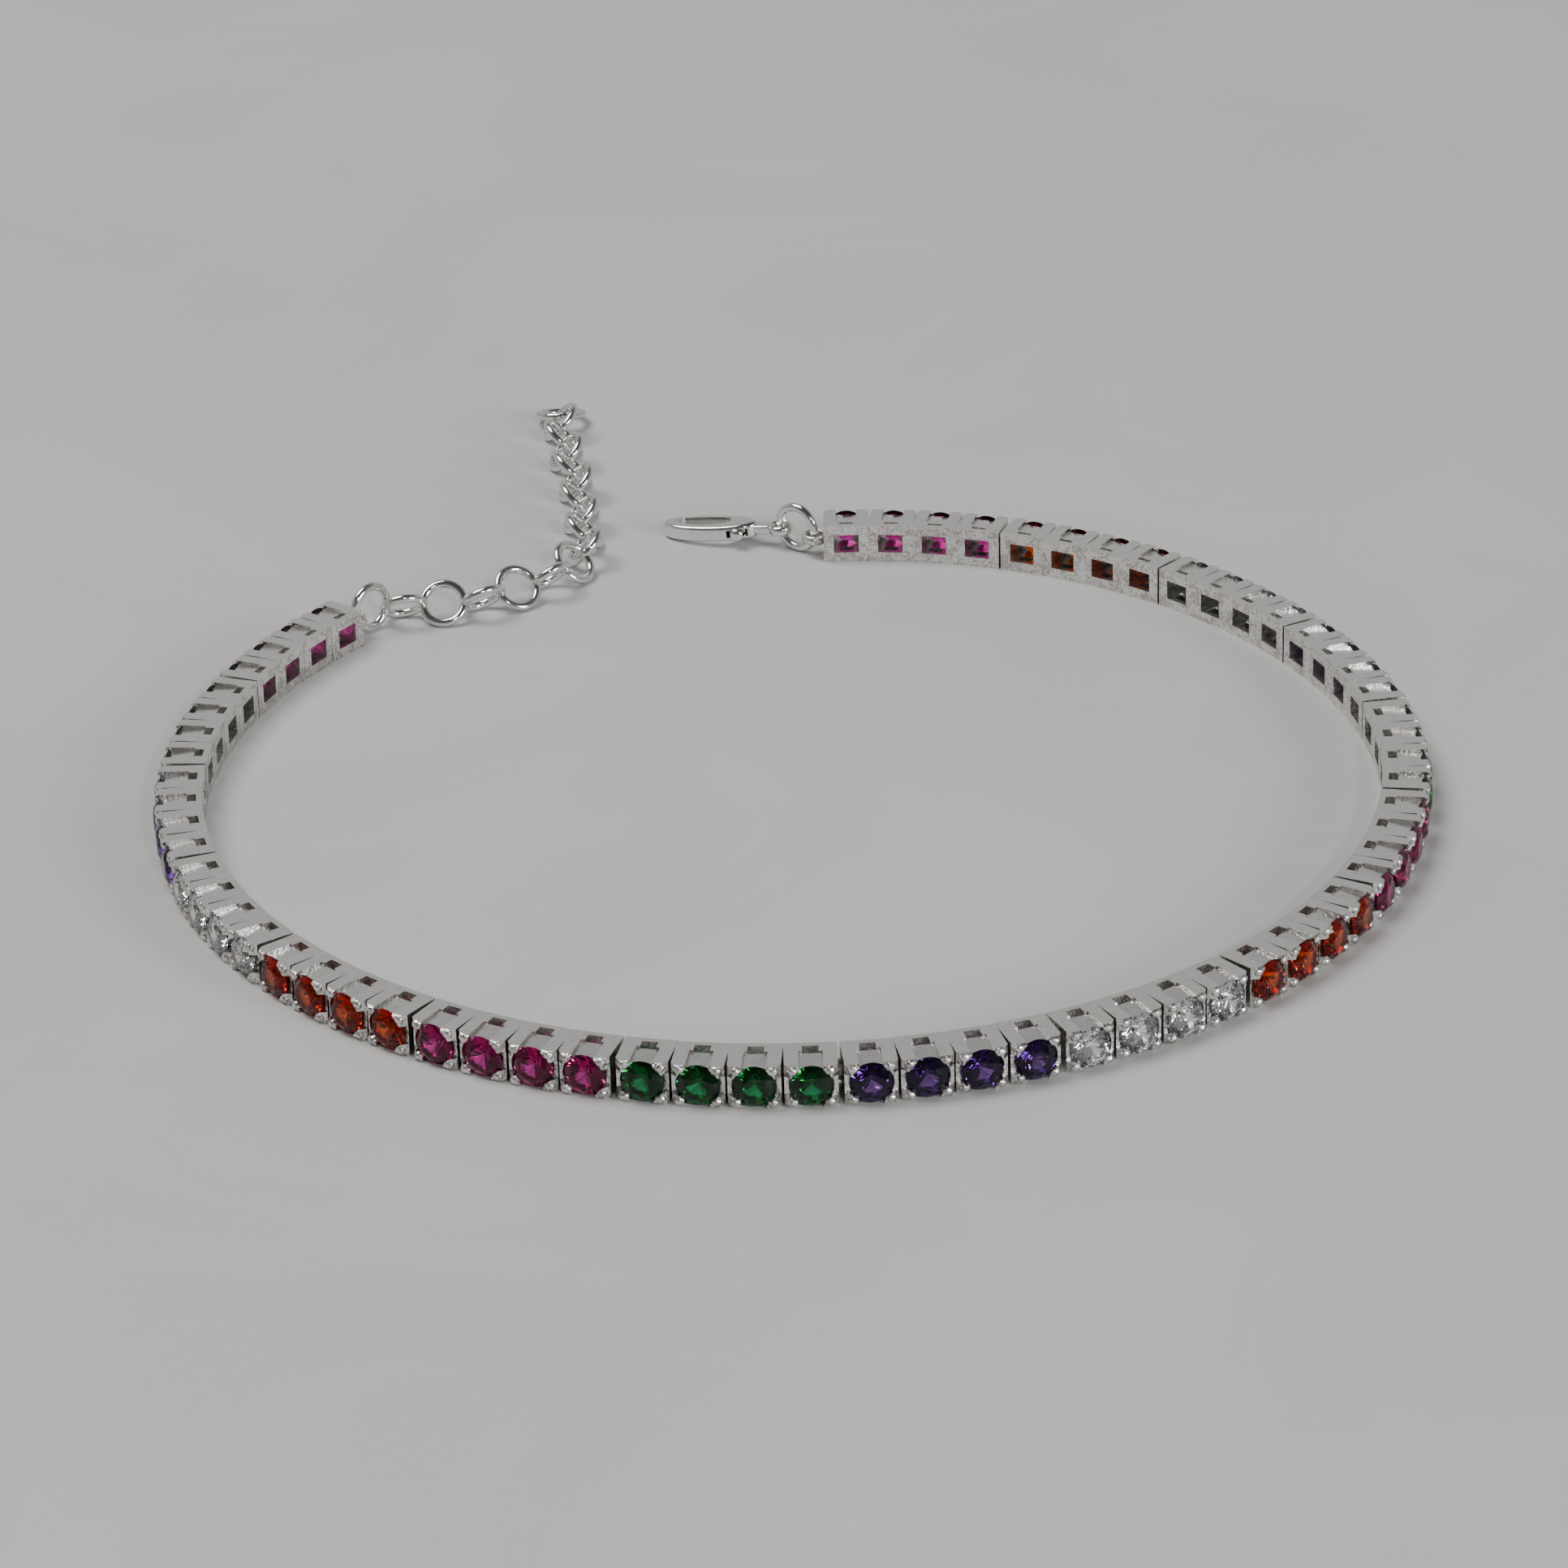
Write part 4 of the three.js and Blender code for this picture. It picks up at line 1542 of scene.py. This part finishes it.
@dataclass
class LobsterClasp:
    """The lobster clasp, in its own frame: X from its eye to its head, Z up.

    Attributes:
        hole_radius: The eye's hole radius.
        rim: The width of the metal round the hole.
        eye_thickness: The eye's height.
        neck_length: From the eye's rim to the claw.
        neck_half: Half of the neck's width.
        neck_start: From the eye's hole to the neck.
        neck_root: How far the neck is let into the claw.
        neck_edge: How wide the neck's edges are rounded.
        body_length: The claw's length.
        half_width: Half of the claw's width.
        half_thickness: Half of its height.
        wall: The width of the claw's closed side.
        head_wall: The width of its head.
        claw_rim: How wide the claw's rim is rounded.
        edge: How wide the edges left by cutting it are rounded.
        cheek: The thickness of each cheek beside the lever.
        clearance: The room between the lever and each cheek.
        fork_clearance: The room between the lever's root and the ends of its slot.
        pivot_inset: From the claw's root to the pin.
        pin_radius: The pin's radius.
        pin_proud: How much longer the pin is than the claw is high.
        pin_play: The room round the pin in the lever.
        root_radius: The radius of the lever's root.
        arm_width: The width of the lever's arm.
        arm_rim: How wide the arm's rim is rounded.
        arm_inset: From the clasp's middle line to the arm's inner edge.
        web_inset: From that line to the web between the arm and the root.
        lever_edge: How wide the lever's other edges are rounded.
        gate_clearance: The room between the lever's tip and the hook.
        nub_half: Half of the thumb nub's width.
        nub_reach: How far the nub stands out of the claw.
        nub_inset: How far the nub's stem ends inside its knob.
        knob: The knob's radii along the clasp, outwards and up.
        knob_back: How far its middle lies behind the pin.
        knob_inset: How far its middle lies inside the nub's end.
        turn: How far the clasp's run is turned from the line's first run, in degrees.
    """

    hole_radius: float = 0.395
    rim: float = 0.28
    eye_thickness: float = 0.5
    neck_length: float = 0.6
    neck_half: float = 0.35
    neck_start: float = 0.12
    neck_root: float = 0.2
    neck_edge: float = 0.12
    body_length: float = 5.2
    half_width: float = 0.95
    half_thickness: float = 0.425
    wall: float = 0.42
    head_wall: float = 0.6
    claw_rim: float = 0.2
    edge: float = 0.03
    cheek: float = 0.22
    clearance: float = 0.05
    fork_clearance: float = 0.15
    pivot_inset: float = 0.95
    pin_radius: float = 0.14
    pin_proud: float = 0.03
    pin_play: float = 0.06
    root_radius: float = 0.4
    arm_width: float = 0.34
    arm_rim: float = 0.16
    arm_inset: float = 0.1
    web_inset: float = 0.2
    lever_edge: float = 0.025
    gate_clearance: float = 0.15
    nub_half: float = 0.27
    nub_reach: float = 0.4
    nub_inset: float = 0.1
    knob: Point = (0.36, 0.17, 0.33)
    knob_back: float = 0.04
    knob_inset: float = 0.16
    turn: float = -15

    def __post_init__(self) -> None:
        """Works out the places that follow."""
        self.start = self.hole_radius + self.rim + self.neck_length
        self.end = self.start + self.body_length
        self.middle = (self.start + self.end) / 2
        self.pivot = self.start + self.pivot_inset
        self.fork_start = self.pivot - self.root_radius - self.fork_clearance
        self.fork_end = self.pivot + self.root_radius + self.fork_clearance
        self.window_end = self.end - self.head_wall
        self.hook_face = self.window_end - self.head_wall / 2
        self.slot_half = self.half_thickness - self.cheek

    def half_width_at(self, x: float) -> float:
        """Gives half of the claw's width at a place.

        Args:
            x: The place along its length.

        Returns:
            Half of its width there.
        """
        share = (x - self.middle) / (self.body_length / 2)
        return self.half_width * math.sqrt(max(0.0, 1 - share * share))

    def oval(self, name: str, start: float, end: float, half: float, height: float) -> bpy.types.Object:
        """Makes an upright oval rod.

        Args:
            name: The piece's name.
            start: Where it starts along X.
            end: Where it ends along X.
            half: Half of its width.
            height: Its height.

        Returns:
            The rod.
        """
        centre = Vector(((start + end) / 2, 0, 0))
        stretch = ((end - start) / 2 / half, 1, 1)
        return Bench.rod(name, centre, half, height, Axis.Z, 64, stretch=stretch)

    def build_body(self) -> bpy.types.Object:
        """Carves the claw and gives it its neck, eye and pin.

        Returns:
            The clasp's body.
        """
        thickness = 2 * self.half_thickness
        claw = self.oval("claw", self.start, self.end, self.half_width, thickness)
        Bench.round_edges(claw, self.claw_rim, 5, BENT)
        hollow = self.half_width - self.wall
        window = self.oval("window", self.fork_end, self.window_end, hollow, THROUGH)
        gate = Bench.block("gate", (self.fork_end, -2 * PAST, -PAST), (self.hook_face, 0, PAST))
        low = (self.fork_start, -2 * PAST, -self.slot_half)
        slot = Bench.block("slot", low, (self.fork_end, 2 * PAST, self.slot_half))
        Bench.cut(claw, window, gate, slot)
        half = self.eye_thickness / 2
        low = (self.hole_radius + self.neck_start, -self.neck_half, -half)
        neck = Bench.block("neck", low, (self.start + self.neck_root, self.neck_half, half))
        Bench.round_edges(neck, self.neck_edge, 3)
        spot = Vector((self.pivot, 0, 0))
        pin = Bench.rod("pin", spot, self.pin_radius, thickness + self.pin_proud, Axis.Z, sides=24)
        eye = Bench.hoop("eye", self.hole_radius + self.rim / 2, self.rim / 2)
        Bench.place(eye, Matrix.Diagonal((1, 1, self.eye_thickness / self.rim, 1)))
        Bench.solder(claw, neck, pin, eye)
        Bench.round_edges(claw, self.edge, 2, BENT)
        Bench.tidy(claw)
        Bench.smooth(claw, BENT)
        return claw

    def build_lever(self) -> bpy.types.Object:
        """Carves the lever: its arm, its root on the pin and its thumb nub.

        Returns:
            The lever.
        """
        leaf = self.slot_half - self.clearance
        height = 2 * (self.half_thickness - self.clearance)
        start = self.fork_end + self.clearance
        end = self.hook_face - self.gate_clearance
        arm = self.oval("arm", self.start, self.end, self.half_width, height)
        Bench.round_edges(arm, self.arm_rim, 4, BENT)
        hollow = self.half_width - self.arm_width
        inside = self.oval("inside", self.start, self.end, hollow, THROUGH)
        kept = Bench.block("kept", (start, -2 * PAST, -PAST), (end, -self.arm_inset, PAST))
        Bench.cut(arm, inside)
        Bench.fit(arm, kept, Fit.KEPT)
        spot = Vector((self.pivot, 0, 0))
        root = Bench.rod("root", spot, self.root_radius, 2 * leaf, Axis.Z, sides=32)
        half = self.half_width_at(self.pivot)
        web_end = start + self.arm_width
        web = Bench.block("web", (self.pivot, -half, -leaf), (web_end, -self.web_inset, leaf))
        nub = self._nub(half + self.nub_reach, leaf)
        Bench.solder(arm, web, root, *nub)
        bore = Bench.rod("bore", spot, self.pin_radius + self.pin_play, THROUGH, Axis.Z, sides=24)
        Bench.cut(arm, bore)
        Bench.round_edges(arm, self.lever_edge, 2, BENT)
        Bench.tidy(arm)
        Bench.smooth(arm, BENT)
        return arm

    def _nub(self, end: float, leaf: float) -> tuple[bpy.types.Object, bpy.types.Object]:
        """Makes the lever's thumb nub.

        Args:
            end: From the clasp's middle line to the nub's end.
            leaf: Half of the height of its stem.

        Returns:
            The stem and the knob.
        """
        low = (self.pivot - self.nub_half, 0, -leaf)
        stem = Bench.block("nub", low, (self.pivot + self.nub_half, end - self.nub_inset, leaf))
        centre = Vector((self.pivot - self.knob_back, end - self.knob_inset, 0))
        return stem, Bench.ball("knob", centre, Vector(self.knob), segments=24)

    def build(self, route: LineRoute, ring_end: tuple[float, float], finishes: Finishes) -> None:
        """Builds, places and dresses the clasp.

        Args:
            route: Where the line starts.
            ring_end: The far side of the ring that the clasp hangs from, along X and Y.
            finishes: The bracelet's materials.
        """
        matrix = self._matrix(route, ring_end)
        body = self.build_body()
        body.name = "clasp_claw"
        Bench.place(body, matrix)
        Bench.finish(body, finishes.polished, BRACELET_BODY, "polished_silver")
        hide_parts("clasp_body")
        lever = self.build_lever()
        lever.name = "clasp_lever_arm"
        Bench.place(lever, matrix)
        Bench.finish(lever, finishes.polished, LEVER_BODY, "polished_silver")
        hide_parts("clasp_lever")

    def _matrix(self, route: LineRoute, ring_end: tuple[float, float]) -> Matrix:
        """Works out the clasp's place: its eye on the ring and its head on the surface.

        Args:
            route: Where the line starts.
            ring_end: The far side of the ring that the clasp hangs from, along X and Y.

        Returns:
            The matrix from the clasp's frame in millimetres to metres.
        """
        x, y = ring_end
        spot = Matrix.Translation((x * MM, y * MM, route.middle_height * MM))
        back = route.places[0].heading + math.pi
        heading = Matrix.Rotation(back + math.radians(self.turn), 4, "Z")
        pitch = math.asin((route.middle_height - self.half_thickness) / self.end)
        return spot @ heading @ Matrix.Rotation(pitch, 4, "Y") @ Matrix.Scale(MM, 4)


@dataclass(frozen=True)
class Softbox:
    """A square soft light that faces the bracelet.

    Attributes:
        name: The light's name.
        spot: Its place, in metres.
        size: The length of its side, in metres.
        power: Its power, in watts.
        colour: Its colour.
    """

    name: str
    spot: Point
    size: float
    power: float
    colour: Colour = (1.0, 1.0, 1.0)

    def hang(self) -> None:
        """Hangs the light in its place and turns it to the bracelet."""
        data = bpy.data.lights.new(self.name, "AREA")
        data.size = self.size
        data.energy = self.power
        data.color = self.colour
        light = bpy.data.objects.new(self.name, data)
        light.location = self.spot
        light.rotation_euler = Vector(self.spot).to_track_quat("Z", "Y").to_euler()
        bpy.context.scene.collection.objects.link(light)


@dataclass
class Studio:
    """The plain pale floor, the soft light and the camera.

    Attributes:
        elevation: The camera's angle above the surface, in degrees.
        distance: From the camera to the point that it looks at, in metres.
        aim: That point.
        lens: The focal length, in millimetres.
        sensor: The sensor's width, in millimetres.
        near: How near the camera still sees, in metres.
        roll: How far the picture is turned counter-clockwise, in degrees.
        floor_side: The length of the floor's side, in metres.
        room_strength: How bright the room is.
        room_levels: The room's colour at heights from the horizon, at 0, to straight above, at 1.
        room_depth: The range from the near end of the room to the far end that it brightens over.
        room_front: The near end's brightness, as a share of the far end's.
        lights: The soft lights.
    """

    elevation: float = 26.57
    distance: float = 0.2866
    aim: Point = (-0.000383, -0.007531, 0.0)
    lens: float = 135.0
    sensor: float = 36.0
    near: float = 0.01
    roll: float = 1.739
    floor_side: float = 2.0
    room_strength: float = 0.5
    room_levels: tuple[tuple[float, Colour], ...] = (
        (0.0, (0.6, 0.6, 0.6)),
        (0.15, (0.95, 0.95, 0.931)),
        (0.5, (1.0, 1.0, 0.98)),
        (0.72, (0.35, 0.35, 0.343)),
        (1.0, (0.22, 0.21, 0.2)),
    )
    room_depth: tuple[float, float] = (-0.9, 0.7)
    room_front: float = 0.3
    lights: tuple[Softbox, ...] = (
        Softbox("key_light", (-0.3, 0.1, 0.65), 0.4, 4.8, (1.0, 0.99, 0.97)),
        Softbox("side_light", (0.5, -0.4, 0.2), 0.18, 3.0, (0.97, 0.98, 1.0)),
        Softbox("spark_light", (0.15, -0.5, 0.32), 0.04, 0.8),
    )

    def build(self, finishes: Finishes) -> None:
        """Builds the floor, the lights and the camera.

        Args:
            finishes: The materials, for their shared node groups.
        """
        self._floor(finishes)
        self._camera()
        self._room()
        for light in self.lights:
            light.hang()

    def _floor(self, finishes: Finishes) -> None:
        """Lays the plain wide floor under the bracelet.

        Args:
            finishes: The materials, for their shared node groups.
        """
        Bench.clear()
        bpy.ops.mesh.primitive_plane_add(size=self.floor_side)
        floor = Bench.settle("floor")
        floor.data.materials.append(FloorFinish().build(finishes.effects))

    def _camera(self) -> None:
        """Sets the camera up at the photograph's angle."""
        tilt = math.radians(self.elevation)
        back = Vector((0, -math.cos(tilt), math.sin(tilt)))
        forward = -back
        right = Vector((1, 0, 0))
        up = right.cross(forward)
        roll = math.radians(self.roll)
        side = math.cos(roll) * right - math.sin(roll) * up
        top = math.sin(roll) * right + math.cos(roll) * up
        turn = Matrix((side, top, back)).transposed().to_4x4()
        data = bpy.data.cameras.new("photo_camera")
        data.lens = self.lens
        data.sensor_width = self.sensor
        data.clip_start = self.near
        camera = bpy.data.objects.new("photo_camera", data)
        camera.matrix_world = Matrix.Translation(Vector(self.aim) + self.distance * back) @ turn
        bpy.context.scene.collection.objects.link(camera)
        bpy.context.scene.camera = camera

    def _room(self) -> None:
        """Fills the room with soft light that falls off overhead and towards the camera."""
        world = bpy.data.worlds.new("room_light")
        world.use_nodes = True
        tree = world.node_tree
        background = tree.nodes["Background"]
        background.inputs["Strength"].default_value = self.room_strength
        place = NodeKit.add(tree, "ShaderNodeTexCoord")
        parts = NodeKit.add(tree, "ShaderNodeSeparateXYZ")
        tree.links.new(place.outputs["Generated"], parts.inputs[0])
        ramp = NodeKit.add(tree, "ShaderNodeValToRGB")
        stops = ramp.color_ramp.elements
        lowest, *between, highest = self.room_levels
        stops[0].color = (*lowest[1], 1)
        stops[1].color = (*highest[1], 1)
        for height, colour in between:
            stops.new(height).color = (*colour, 1)
        tree.links.new(parts.outputs["Z"], ramp.inputs["Fac"])
        near_to_far = (self.room_front, 1.0)
        depth = NodeKit.stretch(tree, parts.outputs["Y"], self.room_depth, near_to_far, soft=True)
        both = NodeKit.add(tree, "ShaderNodeMix", data_type="RGBA", blend_type="MULTIPLY")
        both.inputs["Factor"].default_value = 1.0
        tree.links.new(ramp.outputs["Color"], both.inputs["A"])
        tree.links.new(depth, both.inputs["B"])
        tree.links.new(both.outputs["Result"], background.inputs["Color"])
        bpy.context.scene.world = world


def match_route(route: LineRoute, chain: Chain, loop: EndLoop) -> None:
    """Moves the route to where the frame's line lies, by the ring at its first loop.

    Args:
        route: The route, still starting at the origin.
        chain: The rings' sizes and turns.
        loop: The loop at each end of the line.
    """
    x, y = chain.clasp_run(route, loop, 1)
    low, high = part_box("clasp_ring")
    centre = (Vector(low) + Vector(high)) / (2 * MM)
    route.shift(centre.x - x, centre.y - y)


def main() -> None:
    """Builds every sub-assembly in order."""
    logging.basicConfig(level=logging.INFO, format="%(name)s: %(message)s")
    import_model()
    finishes = Finishes()
    Studio().build(finishes)
    route = LineRoute()
    chain = Chain()
    loop = EndLoop()
    match_route(route, chain, loop)
    line = StoneLine(route, loop, finishes)
    line.build_settings()
    line.build_stones()
    chain.build(route, finishes)
    LobsterClasp().build(route, chain.clasp_run(route, loop, 2), finishes)


if __name__ == "__main__":
    main()
